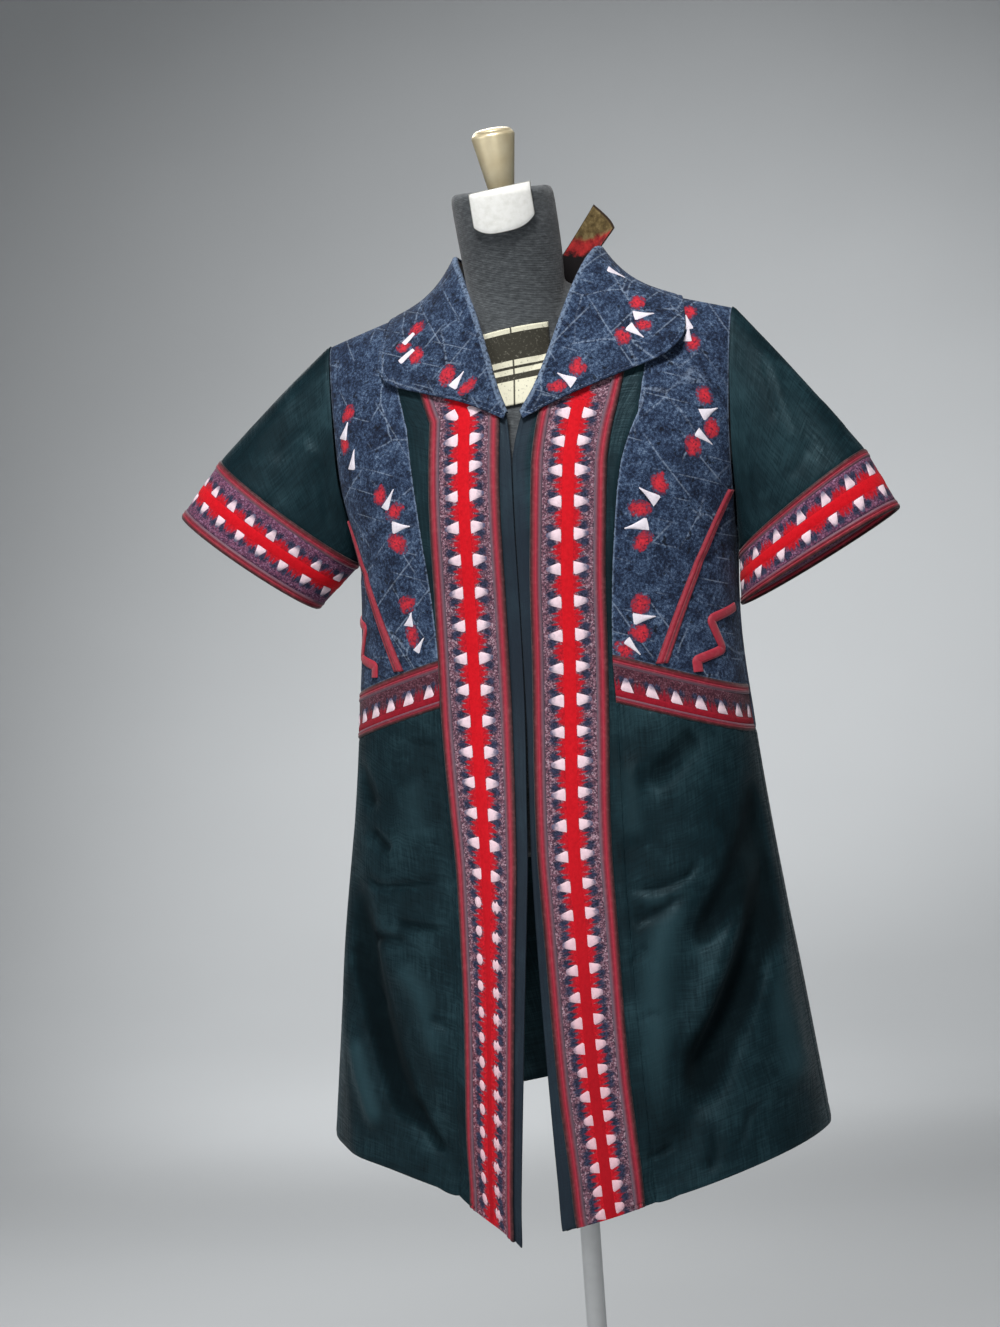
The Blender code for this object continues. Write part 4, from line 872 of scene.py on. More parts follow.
skirtCreases = {  # depth, width and the places each one runs through
    left: (
        (-0.0095, 0.012, ((0.222, 0.948), (0.210, 0.900), (0.197, 0.855), (0.181, 0.818), (0.161, 0.786),
                          (0.140, 0.756))),
        (0.0051, 0.011, ((0.202, 0.868), (0.189, 0.797), (0.164, 0.725), (0.140, 0.66))),
        (-0.0125, 0.015, ((0.225, 0.892), (0.219, 0.851), (0.2096, 0.807), (0.197, 0.7586), (0.178, 0.714),
                          (0.1576, 0.6746), (0.148, 0.638), (0.144, 0.597))),
        (0.0051, 0.010, ((0.2155, 0.783), (0.217, 0.720), (0.227, 0.662), (0.229, 0.610))),
        (-0.0064, 0.010, ((0.233, 0.787), (0.242, 0.747), (0.244, 0.682), (0.252, 0.638))),
        (-0.0022, 0.003, ((0.207, 0.622), (0.190, 0.606), (0.1846, 0.592), (0.178, 0.573))),
        (-0.0050, 0.012, ((0.166, 0.968), (0.150, 0.961), (0.129, 0.940), (0.104, 0.914))),
        (-0.0040, 0.0034, ((0.086, 0.827), (0.1206, 0.826), (0.140, 0.832), (0.158, 0.850))),
        (0.0025, 0.006, ((0.094, 0.815), (0.125, 0.816), (0.148, 0.834))),
        (-0.0034, 0.006, ((0.090, 0.795), (0.120, 0.803), (0.142, 0.824))),
        (-0.0030, 0.004, ((0.084, 0.570), (0.108, 0.5785), (0.124, 0.588))),
        (-0.0034, 0.005, ((0.152, 0.604), (0.157, 0.577), (0.150, 0.552))),
        (-0.0018, 0.003, ((0.092, 0.698), (0.105, 0.708), (0.118, 0.705))),
        (-0.0018, 0.003, ((0.088, 0.755), (0.100, 0.765), (0.108, 0.775))),
        (0.0050, 0.014, ((0.148, 0.836), (0.133, 0.802), (0.121, 0.773), (0.113, 0.735), (0.111, 0.676),
                         (0.112, 0.550))),
        (0.0030, 0.012, ((0.098, 0.960), (0.098, 0.905), (0.101, 0.865))),
    ),
    right: (
        (-0.0110, 0.012, ((-0.1906, 0.863), (-0.1876, 0.802), (-0.179, 0.746), (-0.1694, 0.7055),
                          (-0.1573, 0.665), (-0.1415, 0.629), (-0.122, 0.600))),
        (-0.0060, 0.006, ((-0.140, 0.637), (-0.1177, 0.605), (-0.098, 0.580))),
        (-0.0054, 0.006, ((-0.208, 0.786), (-0.192, 0.752), (-0.181, 0.7335), (-0.170, 0.710))),
        (0.0055, 0.010, ((-0.204, 0.705), (-0.197, 0.665), (-0.186, 0.630), (-0.172, 0.597))),
        (-0.0062, 0.008, ((-0.200, 0.970), (-0.181, 0.939), (-0.1675, 0.909))),
        (-0.0048, 0.006, ((-0.178, 0.896), (-0.1625, 0.883), (-0.148, 0.871))),
        (-0.0034, 0.0032, ((-0.182, 0.852), (-0.166, 0.840), (-0.125, 0.841), (-0.080, 0.843))),
        (-0.0042, 0.005, ((-0.152, 0.805), (-0.122, 0.800), (-0.088, 0.797))),
        (-0.0034, 0.005, ((-0.188, 0.7885), (-0.160, 0.788), (-0.130, 0.787))),
        (-0.0024, 0.003, ((-0.132, 0.979), (-0.108, 0.976), (-0.090, 0.973))),
        (-0.0028, 0.005, ((-0.112, 0.714), (-0.098, 0.707), (-0.086, 0.700))),
        (0.0040, 0.012, ((-0.160, 0.768), (-0.128, 0.744), (-0.112, 0.710), (-0.100, 0.650))),
        (0.0030, 0.015, ((-0.124, 0.950), (-0.122, 0.910), (-0.114, 0.870))),
    ),
}
bodiceCreases = {
    left: (
        (-0.0014, 0.006, ((0.198, 1.152), (0.180, 1.138), (0.158, 1.132))),
        (0.0012, 0.012, ((0.112, 1.110), (0.126, 1.150), (0.150, 1.190))),
        (-0.0012, 0.008, ((0.190, 1.215), (0.172, 1.190), (0.150, 1.178))),
        (-0.0010, 0.007, ((0.118, 1.250), (0.140, 1.262), (0.160, 1.285))),
    ),
    right: (
        (-0.0014, 0.006, ((-0.197, 1.165), (-0.178, 1.150), (-0.156, 1.146))),
        (0.0012, 0.012, ((-0.112, 1.105), (-0.124, 1.140), (-0.140, 1.185))),
        (-0.0014, 0.008, ((-0.188, 1.235), (-0.165, 1.205), (-0.146, 1.195))),
        (-0.0010, 0.006, ((-0.120, 1.268), (-0.144, 1.272), (-0.162, 1.292))),
    ),
}


def edgeX(side, level):
    neck = np.clip((level - front["vLevel"]) / (body["shoulder"] - front["vLevel"]), 0.0, 1.0)
    vee = np.clip((level - front["closeLevel"]) / (front["vLevel"] - front["closeLevel"]), 0.0, 1.0)
    low = np.clip((front["openLevel"] - level) / (front["openLevel"] - front["hemTip"][side]), 0.0, 2.0)
    gap = front["edgeGap"]
    vHalf = front["vHalf"][side]
    closed = np.where(level >= front["openLevel"], mix(gap, vHalf, vee**1.5),
                      mix(gap, front["hemGap"][side], low**1.2))
    return np.where(level >= front["vLevel"], mix(vHalf, front["neckX"], neck**0.9), closed)


def acrossAt(side, level):
    level = np.minimum(level, front["vLevel"])
    return [curveAt(front["across"][side], level, k) for k in (1, 2, 3)]


def placketX(side, level):
    edge, share, outer = acrossAt(side, level)
    foot = edgeX(side, np.minimum(level, front["vLevel"])) + edge + bandWidth * share + outer
    rise = np.maximum(level - front["vLevel"], 0.0) / (body["shoulder"] - front["vLevel"])
    return mix(foot, front["topX"], rise)


def hemLevel(side, angle):
    foot = body["foldFoot"]
    out = bodyRow(foot, 1) * np.maximum(np.sin(angle), 0.0) ** bodyRow(foot, 4)
    share = out / bodyRow(foot, 1)
    tip = pick(side, front["tipDrop"]) * np.exp(-out / front["tipReach"])
    hemSide = pick(side, front["hemSide"])
    ahead = mix(pick(side, front["hemFront"]), hemSide, share ** pick(side, front["hemCurve"])) - tip
    return np.where(np.cos(angle) >= 0.0, ahead, mix(front["hemBack"], hemSide, share))


def waistLevel(side, angle, rise=0.0):
    share = np.sin(angle)
    height = np.where(np.cos(angle) >= 0.0, front["riseFront"], front["riseBack"])
    return front["waistSide"] + height * (1.0 - share) - front["crook"] * side * share + rise


def seamEnds(side):
    # levels of the front's outer seam at the hem and at the waist
    hem = hemLevel(side, angleAt(placketX(side, front["hemFront"][side]), front["hemFront"][side]))
    waist = front["waistSide"] + front["riseFront"] / 2
    return float(hem), float(waistLevel(side, angleAt(placketX(side, waist), waist)))


def seamPlace(side, level):
    return angleAt(placketX(side, level), level), level


def placketPoint(side, level, part):
    hem, waist = seamEnds(side)
    share = np.clip((level - hem) / (waist - hem), 0.0, 1.0)
    inner = np.where(level < waist, mix(front["hemTip"][side], waist, share), level)
    x = mix(edgeX(side, inner), placketX(side, level), part)
    here = mix(inner, level, part)
    foot = np.clip(1.0 - share * front["hemRows"], 0.0, 1.0) * (1.0 - part)
    here = mix(here, hemLevel(side, angleAt(x, here)), foot)
    return bodyPoint(side, angleAt(x, here), here)


def bandPart(side, level, offset):
    edge, share, outer = acrossAt(side, level)
    return (edge + offset * share) / (edge + bandWidth * share + outer)


def frontLevels(side, skirtRows, bodiceRows, topRows, topShare=1.0):
    hem, waist = seamEnds(side)
    vLevel = front["vLevel"]
    start = math.degrees(math.asin(chestShare(vLevel)))
    turns = np.linspace(start, mix(start, 90.0, topShare), topRows + 1)
    low = np.concatenate(([hem], hem + np.array(rimLines), np.linspace(hem, waist, skirtRows + 1)[1:-1]))
    return np.concatenate((np.sort(low), np.linspace(waist, vLevel, bodiceRows + 1)[:-1], turnLevel(turns)))


def ridged(cross, height):
    # two rounded cords side by side across a ribbon
    return height * np.abs(np.sin(2 * math.pi * cross)) ** 0.8


def sewRibbon(name, gridAt, darkLast, flip, closed=False):
    # a ribbon round the waist or a cuff, on the grid at its shares across
    cross = np.linspace(0.0, 1.0, 11)
    height = ridged(cross, waistChart["ribbonCord"])[:, None]
    points = dress(gridAt(cross), flip, closed=closed, extra=height)
    # shade reaches 1 at the ribbon's outer edge, where its colour holds painted shade
    shade = cross if darkLast else 1.0 - cross
    return makeSheet(name, points, "mauveRibbon", body["cloth"], flip, closed, cross=shade[:, None])


motifChart = {
    "ways": (1, -1), "spine": 0.0060, "thread": "redThread", "height": 0.0009, "bow": 0.9,
    "wedge": (0.0148, 0.0069, 0.0018),  # length, half width at the spine, half width at the tip
    "dot": (0.0066, 0.0086, 0.0054), "star": (0.0062, 0.0130, 0.0066),  # start, length and half width
    "first": {left: 1.2866, right: 1.2965}, "lowEnd": 0.006, "topEnd": 0.012, "inset": 0.0005,
    "pitch": {  # level, step to the next wedge
        left: (
            (0.50, 0.0216), (0.60, 0.0217), (0.66, 0.0226), (0.70, 0.0234), (0.75, 0.0247), (0.80, 0.0262),
            (0.85, 0.0280), (0.92, 0.0293), (1.00, 0.0302), (1.06, 0.0312), (1.12, 0.0320), (1.165, 0.0325),
            (1.20, 0.0318), (1.23, 0.0302), (1.26, 0.0282), (1.29, 0.0270),
        ),
        right: (
            (0.50, 0.0216), (0.60, 0.0217), (0.66, 0.0226), (0.70, 0.0236), (0.75, 0.0250), (0.80, 0.0268),
            (0.85, 0.0286), (0.92, 0.0293), (1.00, 0.0300), (1.06, 0.0308), (1.12, 0.0321), (1.165, 0.0323),
            (1.20, 0.0311), (1.23, 0.0291), (1.26, 0.0274), (1.29, 0.0266),
        ),
    },
    "small": {left: (0.60, 0.90, 0.55), right: (0.77, 0.90, 0.10)},  # levels, least size of the low wedges
    "fade": (0.80, 0.60),
}


def toothMarks(run, centres):
    # distance along a band to the nearest wedge and to the nearest gap between wedges
    spots = np.sort([centre[0] for centre in centres])
    middles = (spots[1:] + spots[:-1]) / 2
    gaps = np.concatenate(([2 * spots[0] - middles[0]], middles, [2 * spots[-1] - middles[-1]]))
    return [np.abs(run[:, None] - places[None, :]).min(1) for places in (spots, gaps)]


def evenCentres(run, repeats):
    pitch = run[-1] / repeats
    return [((k + 0.5) * pitch, 1.0) for k in range(repeats)]


def makeFronts(side):
    name, flip = sideNames[side], side == right
    creases = skirtCreases[side] + bodiceCreases[side]
    levels = frontLevels(side, 110, 66, 22)
    level, part = np.meshgrid(levels, lines(30, 0.10), indexing="ij")
    points = placketPoint(side, level, part)
    across = runLengths(points, 1)
    seams = sum(np.exp(-(((across - place) / front["stitchWidth"]) ** 2)) for place in front["stitchLines"])
    deep, reach, up, over = front["pucker"]
    pucker = np.exp(-(across[:, -1:] - across) / reach) * np.sin(points[..., 2] * up + across * over)
    points = dress(points, flip, creases, 0.0, sewing["placketGroove"],
                   extra=deep * pucker - front["stitchDeep"] * seams)
    facing = ease(*front["facing"], runLengths(points, 1))
    # the fold mark holds painted crease shade and painted crease highlight
    placket = makeSheet("placket" + name, points, "darkSateen", body["cloth"], flip, facing=facing,
                        fold=creaseShadeAndHighlight(points, creases))
    declare(placket)

    levels = frontLevels(side, 210, 126, 14, 0.4)
    half = front["band"] / 2

    def stripGrid(offsets, lift):
        level, offset = np.meshgrid(levels, offsets, indexing="ij")
        return dress(placketPoint(side, level, bandPart(side, level, offset)), flip, creases, lift)

    offsets = np.linspace(-half, half, 17)
    points = stripGrid(front["ribbon"] + half + offsets, front["trimLift"])
    middle = len(offsets) // 2
    alongMiddle = runLengths(points[:, middle : middle + 1], 0)[:, 0]
    heights = points[:, middle, 2]
    z, centres = motifChart["first"][side], []
    lowLevel, highLevel, least = motifChart["small"][side]
    while z > heights[0] + motifChart["lowEnd"]:
        pitch = float(curveAt(motifChart["pitch"][side], z, 1))
        size = mix(least, 1.0, float(ease(lowLevel, highLevel, z)))
        centres.append((float(np.interp(z, heights, alongMiddle)), size))
        z -= pitch
    tooth, gap = toothMarks(alongMiddle, centres)
    faded = ease(*motifChart["fade"], heights) if side == right else 0.0 * heights
    band = makeSheet("frontBand" + name, points, "bandGround", front["trimWall"], flip,
                     spine=offsets[None, :], tooth=tooth[:, None], gap=gap[:, None], faded=faded[:, None])
    normals = gridNormals(points, flip)
    at = stripMap(points + normals * front["trimWall"], normals, offsets, alongMiddle)
    top = motifChart["first"][side] + motifChart["topEnd"]
    span = (motifChart["inset"], float(np.interp(top, heights, alongMiddle)))
    trims = [sewMotifs("frontNeedlework" + name, at, motifChart, centres, span, flip)]
    for prefix, start, turn in (("Inner", 0.0, 1.0), ("Outer", front["ribbon"] + front["band"], 0.0)):
        cross = np.linspace(0.0, 1.0, 13)
        wide, lift = front["ribbon"] + 2 * front["ribbonOver"], front["trimLift"] + front["ribbonLift"]
        points = stripGrid(start - front["ribbonOver"] + cross * wide, lift)
        points = dress(points, flip, extra=ridged(cross, front["ribbonCord"])[None, :])
        # cross is 1 at the ribbon's outer edge, where painted shade darkens it
        trims.append(makeSheet("frontRibbon" + prefix + name, points, "mauveRibbon", front["trimWall"], flip,
                               cross=np.abs(turn - cross)[None, :]))
    declare(band)


def blendPatch(bottom, top, start, end, u, v):
    # angles and levels inside four border curves
    def at(curve, share):
        return np.stack(np.broadcast_arrays(*curve(share)), axis=-1)

    zero, one = np.zeros_like(u), np.ones_like(u)
    s, t = u[..., None], v[..., None]
    sides = mix(at(bottom, u), at(top, u), t) + mix(at(start, v), at(end, v), s)
    corners = mix(mix(at(bottom, zero), at(bottom, one), s), mix(at(top, zero), at(top, one), s), t)
    patch = sides - corners
    return patch[..., 0], patch[..., 1]


def frontAngle(start, u):
    # the share where the slanting seam stands is the same as in the panels above
    foot = angleAt(front["seamFootX"], front["waistSide"] + sum(front["waistStrips"]))
    split = 5.0 / 9.0
    return np.where(u <= split, mix(start, foot, u / split), mix(foot, quarter, (u - split) / (1.0 - split)))


skirtSeams = {
    "pucker": (0.00045, 0.007, 560.0, 700.0),  # depth, reach, waves up and across, beside the placket
    "gather": (0.0003, 0.010, 420.0, 1.5, 130.0),  # depth, reach, waves and their unevenness, at the waist
    "creasesFace": (0.26, -0.97, 0.0), "creasesTurn": (0.12, 0.60), "sideSeam": (0.004, 0.035),
}


def makeFrontSkirt(side):
    name, flip = sideNames[side], side == right
    hem, waist = seamEnds(side)
    hemStart, waistStart = seamPlace(side, hem), seamPlace(side, waist)

    def hemCurve(u):
        angle = mix(hemStart[0], quarter, u)
        return angle, mix(hem, hemLevel(side, angle), np.minimum(front["hemEase"] * u, 1.0))

    def waistCurve(u):
        angle = frontAngle(waistStart[0], u)
        return angle, waistLevel(side, angle)

    def inner(v):
        return seamPlace(side, mix(hem, waist, v))

    def outer(v):
        low, high = hemLevel(side, quarter), waistLevel(side, quarter)
        return np.full_like(v, quarter), mix(low, high, v)

    u, v = np.meshgrid(lines(64, 0.20), lines(116, 0.45))
    angle, level = blendPatch(hemCurve, waistCurve, inner, outer, u, v)
    points = bodyPoint(side, angle, level)
    across, along = runLengths(points, 1), runLengths(points, 0)
    puckerDeep, reach, up, over = skirtSeams["pucker"]
    pucker = np.exp(-across / reach) * np.sin(points[..., 2] * up - across * over)
    gatherDeep, reach, waves, bend, bends = skirtSeams["gather"]
    gather = np.exp(-(along[-1:] - along) / reach) * np.sin(across * waves + bend * np.sin(across * bends))
    extra = puckerDeep * pucker + hemLine(points) + gatherDeep * gather
    ahead = gridNormals(points, flip) @ np.array(skirtSeams["creasesFace"])
    ahead = ease(*skirtSeams["creasesTurn"], ahead)
    ahead = ahead * ease(*skirtSeams["sideSeam"], across[:, -1:] - across)  # the side seam keeps its line
    # painted crease shade and painted crease highlight, weaker where the cloth turns away from the front
    fold = ahead * creaseShadeAndHighlight(points, skirtCreases[side])
    extra = extra + ahead * creaseHeight(points, skirtCreases[side])
    points = dress(points, flip, groove=sewing["skirtGroove"], extra=extra)
    skirt = makeSheet("frontSkirt" + name, points, "darkSateen", body["cloth"], flip, fold=fold)
    declare(skirt)


waistChart = {
    **motifChart, "ways": (1,), "spine": 0.0034, "thread": "crimsonThread", "foot": 0.0035, "repeats": 7,
    "wedge": (0.0138, 0.0074, 0.0014), "inset": 0.0006, "ribbonCord": 0.0010,
}


def makeWaist(side):
    name, flip = sideNames[side], side == right
    waist = seamEnds(side)[1]
    rises = np.concatenate(([0.0], np.cumsum(front["waistStrips"])))

    def stripGrid(k, columns, shares):
        starts = [float(seamPlace(side, waist + rise)[0]) for rise in (rises[k], rises[k + 1])]
        u, v = np.meshgrid(columns, shares)
        angle = frontAngle(mix(starts[0], starts[1], v), u)
        points = bodyPoint(side, angle, waistLevel(side, angle, mix(rises[k], rises[k + 1], v)))
        return dress(points, flip, bodiceCreases[side])

    columns = lines(70, 0.17)
    shares = np.linspace(0.0, 1.0, 12)
    points = stripGrid(1, columns, shares)
    spots = shares * front["waistStrips"][1] - waistChart["foot"]
    run = runLengths(points[5:6], 1)[0]
    centres = evenCentres(run, waistChart["repeats"])
    tooth, gap = toothMarks(run, centres)
    band = makeSheet("waistBand" + name, points, "waistGround", body["cloth"], flip, spine=spots[:, None],
                     tooth=tooth[None, :], gap=gap[None, :])
    normals = gridNormals(points, flip)
    top = points + normals * body["cloth"]
    at = stripMap(top.swapaxes(0, 1), normals.swapaxes(0, 1), spots, run)
    span = (waistChart["inset"], run[-1] - waistChart["inset"])
    trims = [sewMotifs("waistNeedlework" + name, at, waistChart, centres, span, not flip)]
    for k, part in ((0, "Lower"), (2, "Upper")):
        trims.append(sewRibbon("waistRibbon" + part + name, lambda cross: stripGrid(k, columns, cross),
                               part == "Upper", flip))
    declare(band)


def slantSeam(side, v):
    rise = sum(front["waistStrips"])
    footAngle = angleAt(front["seamFootX"], front["waistSide"] + rise)
    foot = (footAngle, waistLevel(side, footAngle, rise))
    head = armholePlace(chestShare(front["seamTop"]))
    angle = mix(foot[0], head[0], v) - front["seamBow"] * np.sin(math.pi * v)
    return angle, mix(foot[1], head[1], v)


bodice = {
    "lowRows": 6.0, "highRows": 5.0, "tapeRows": 5.0, "sideRadius": 0.107,
    "tapeWidth": 0.0085, "tapeRun": (0.02, 0.97), "tapeCord": 0.0011, "tapeEdge": 0.0010,
    "braid": ((84.0, 1.0975), (62.8, 1.0868), (69.6, 1.0570), (53.7, 1.0482), (53.8, 1.0365)),  # turn, level
    "braidWidth": 0.0085, "braidLift": 0.0002, "braidCrown": 0.0007, "braidEdge": 0.0012, "braidRounding": 6,
    "braidShade": 0.25,
}


def makeBodice(side):
    name, flip = sideNames[side], side == right
    rise = sum(front["waistStrips"])
    foot = seamEnds(side)[1] + rise
    count = bodice["lowRows"] + bodice["highRows"]
    vShare, topShare = chestShare(front["vLevel"]), chestShare(front["seamTop"])
    vTurn, topTurn = (math.degrees(math.asin(share)) for share in (vShare, topShare))

    def inner(v):
        row = v * count
        high = np.clip((row - bodice["lowRows"]) / bodice["highRows"], 0.0, 1.0)
        level = np.where(row <= bodice["lowRows"], mix(foot, front["vLevel"], row / bodice["lowRows"]),
                         turnLevel(mix(vTurn, 90.0, high)))
        return seamPlace(side, level)

    def outer(v):
        row, tapeRows = v * count, bodice["tapeRows"]
        lowAngle, lowLevel = slantSeam(side, np.minimum(row / tapeRows, 1.0))
        turn = mix(topTurn, 90.0, np.clip((row - tapeRows) / (count - tapeRows), 0.0, 1.0))
        highAngle, highLevel = armholePlace(np.sin(np.radians(turn)))
        below = row <= tapeRows
        return np.where(below, lowAngle, highAngle), np.where(below, lowLevel, highLevel)

    ends = [[float(x) for x in curve(np.array(share))] for curve in (inner, outer) for share in (0.0, 1.0)]

    def waist(u):
        angle = mix(ends[0][0], ends[2][0], u)
        return angle, waistLevel(side, angle, rise)

    def shoulder(u):
        return mix(ends[1][0], ends[3][0], u), mix(ends[1][1], ends[3][1], u)

    u, v = np.meshgrid(lines(44, 0.11), lines(96, 0.36))
    angle, level = blendPatch(waist, shoulder, inner, outer, u, v)
    points = bodyPoint(side, angle, np.minimum(level, body["shoulder"]))
    points = dress(points, flip, bodiceCreases[side], 0.0, sewing["bodiceGroove"])
    panel = makeSheet("frontPanel" + name, points, "washedDenim", body["cloth"], flip)

    def sideFoot(u):
        angle = mix(slantSeam(side, 0.0)[0], quarter, u)
        return angle, waistLevel(side, angle, rise)

    def underarm(u):
        return armholePlace(topShare * (1.0 - u))

    def sideSeam(v):
        return np.full_like(v, quarter), mix(float(waistLevel(side, quarter, rise)), body["underarm"], v)

    u, v = np.meshgrid(lines(34, 0.08), lines(40, 0.15))
    angle, level = blendPatch(sideFoot, underarm, lambda v: slantSeam(side, v), sideSeam, u, v)
    points = dress(bodyPoint(side, angle, level), flip, bodiceCreases[side], 0.0, sewing["bodiceGroove"])
    sidePanel = makeSheet("sidePanel" + name, points, "washedDenim", body["cloth"], flip)

    cross, v = np.meshgrid(np.linspace(0.0, 1.0, 13), np.linspace(0.0, 1.0, 70))
    angle, level = slantSeam(side, mix(*bodice["tapeRun"], v))
    angle = angle + (cross - 0.5) * bodice["tapeWidth"] / bodice["sideRadius"]
    height = ridged(cross, bodice["tapeCord"]) - bodice["tapeEdge"] * (2 * cross - 1) ** 6
    points = dress(bodyPoint(side, angle, level), flip, bodiceCreases[side], front["trimLift"], extra=height)
    tape = makeSheet("seamTape" + name, points, "seamTape", front["trimWall"], flip, cross=cross)

    radius, drop = bodice["sideRadius"], front["crook"] * side
    corners = np.array([(math.radians(turn) * radius, z - drop) for turn, z in bodice["braid"]])
    keys = np.linspace(0.0, len(corners) - 1.0, 81)
    centre = np.stack([np.interp(keys, range(len(corners)), corners[:, k]) for k in (0, 1)], -1)
    for _ in range(bodice["braidRounding"]):  # round the corners of the zigzag
        centre[1:-1] = (centre[:-2] + 2 * centre[1:-1] + centre[2:]) / 4
    way = unit(np.gradient(centre, axis=0))
    aside = np.stack((-way[:, 1], way[:, 0]), -1)
    cross = np.linspace(0.0, 1.0, 7)
    flat = centre[None] + aside[None] * ((cross - 0.5) * bodice["braidWidth"])[:, None, None]
    points = bodyPoint(side, flat[..., 0] / radius, flat[..., 1])
    height = (bodice["braidCrown"] - bodice["braidEdge"] * (2 * cross - 1) ** 4)[:, None]
    points = dress(points, flip, lift=front["trimLift"] + bodice["braidLift"], extra=height)
    braid = makeSheet("rickrack" + name, points, "seamTape", front["trimWall"], flip,
                      cross=bodice["braidShade"])
    declare(sidePanel)
    return panel, tape


print("sewing the fronts")
panels = {}
for wearerSide in (left, right):
    makeFronts(wearerSide)
    makeFrontSkirt(wearerSide)
    makeWaist(wearerSide)
    panels[wearerSide] = makeBodice(wearerSide)

# Back, plain
backCreases = {
    "skirt": (
        (-0.0036, 0.010, ((0.182, 0.900), (0.160, 0.780), (0.142, 0.650))),
        (0.0030, 0.012, ((0.062, 0.940), (0.050, 0.800), (0.066, 0.650))),
        (-0.0030, 0.009, ((-0.096, 0.930), (-0.088, 0.810), (-0.118, 0.650))),
        (-0.0020, 0.006, ((0.022, 0.880), (0.034, 0.800), (0.030, 0.740))),
        (0.0030, 0.010, ((-0.190, 0.870), (-0.184, 0.740), (-0.205, 0.620))),
        (-0.0016, 0.004, ((-0.060, 0.900), (-0.020, 0.886), (0.012, 0.890))),
        (-0.0018, 0.005, ((0.110, 0.845), (0.140, 0.830), (0.165, 0.834))),
        (-0.0024, 0.008, ((-0.020, 0.800), (-0.030, 0.710), (-0.018, 0.640))),
    ),
    "bodice": (
        (-0.0020, 0.010, ((0.140, 1.110), (0.070, 1.075), (0.010, 1.070))),
        (-0.0018, 0.008, ((-0.160, 1.180), (-0.110, 1.130), (-0.070, 1.110))),
        (0.0016, 0.014, ((-0.080, 1.300), (-0.010, 1.285), (0.050, 1.295))),
        (-0.0016, 0.009, ((0.170, 1.230), (0.130, 1.190), (0.090, 1.180))),
        (-0.0014, 0.006, ((-0.100, 1.040), (-0.040, 1.030), (0.010, 1.034))),
    ),
    "neckDip": 0.024, "lowRows": 5.0, "highRows": 7.0,
}


def makeBack():
    u, v = np.meshgrid(lines(124, 0.52), lines(96, 0.38))
    side, inward = bothSides(u)
    angle = mix(quarter, math.pi, inward)
    points = bodyPoint(side, angle, mix(hemLevel(side, angle), waistLevel(side, angle), v))
    points = dress(points, False, backCreases["skirt"], 0.0, sewing["skirtGroove"], extra=hemLine(points))
    # painted crease shade and painted crease highlight for the back skirt
    fold = creaseShadeAndHighlight(points, backCreases["skirt"])
    skirt = makeSheet("backSkirt", points, "darkSateen", body["cloth"], fold=fold)
    declare(skirt)

    u, v = np.meshgrid(lines(120, 0.50), lines(110, 0.42))
    side, inward = bothSides(u)
    lowRows, highRows = backCreases["lowRows"], backCreases["highRows"]
    row = v * (lowRows + highRows)
    lowAngle = mix(quarter, math.pi, inward)
    lowLevel = mix(waistLevel(side, lowAngle), body["underarm"], np.minimum(row / lowRows, 1.0))
    high = np.clip((row - lowRows) / highRows, 0.0, 1.0)
    share = np.sin(quarter * high)
    start, level = armholePlace(share, True)
    highAngle = mix(start, math.pi, inward)
    out = bodyRow(level, 1) * np.sin(highAngle) ** bodyRow(level, 4) / front["neckX"]
    dip = backCreases["neckDip"] * share**4 * np.clip(1.0 - out * out, 0.0, 1.0)
    below = row <= lowRows
    points = bodyPoint(side, np.where(below, lowAngle, highAngle), np.where(below, lowLevel, level - dip))
    points = dress(points, False, backCreases["bodice"], 0.0, sewing["bodiceGroove"])
    back = makeSheet("backBodice", points, "washedDenim", body["cloth"])
    declare(back)


makeBack()
print("back sewn")

# Sleeves with their cuffs
sleeve = {
    "ends": {  # x, z of the seam above the cuff and of the mouth: outer, inner
        left: ((0.328, 1.232), (0.2005, 1.142), (0.357, 1.174), (0.199, 1.092)),
        right: ((0.331, 1.277), (0.193, 1.162), (0.377, 1.224), (0.241, 1.120)),
    },
    "halfDepth": 0.046, "bulge": 0.001, "gapTop": 0.0008, "gapUnderarm": 0.0030, "ribbonShare": 0.12,
    "creases": {
        left: (
            (0.0028, 0.010, ((0.2331, 1.345), (0.2558, 1.274), (0.268, 1.232))),
            (-0.0026, 0.004, ((0.2375, 1.332), (0.2467, 1.291), (0.2495, 1.262))),
            (-0.0018, 0.005, ((0.258, 1.206), (0.2732, 1.2252), (0.282, 1.246))),
            (-0.0030, 0.006, ((0.216, 1.285), (0.218, 1.225), (0.221, 1.165))),
            (-0.0016, 0.005, ((0.230, 1.205), (0.240, 1.188), (0.246, 1.176))),
            (0.0014, 0.008, ((0.285, 1.290), (0.300, 1.265), (0.312, 1.250))),
        ),
        right: (
            (-0.0026, 0.006, ((-0.222, 1.303), (-0.240, 1.290), (-0.268, 1.268))),
            (0.0030, 0.009, ((-0.220, 1.285), (-0.2276, 1.273), (-0.236, 1.245), (-0.242, 1.215))),
            (-0.0034, 0.006, ((-0.2146, 1.270), (-0.212, 1.235), (-0.210, 1.190))),
            (-0.0018, 0.006, ((-0.248, 1.256), (-0.262, 1.232), (-0.288, 1.218))),
            (0.0020, 0.010, ((-0.240, 1.342), (-0.268, 1.308), (-0.298, 1.283))),
        ),
    },
    "forward": (-0.004, 0.006), "behindRise": 0.030, "behindShare": 0.8,  # creases of the hidden half
    "topSeamWidth": 0.006, "topSeamDeep": 0.0006, "repeats": {left: 14, right: 16},
}
cuffChart = {**motifChart, "spine": 0.0054, "wedge": (0.0126, 0.0062, 0.0015), "bow": 1.0}


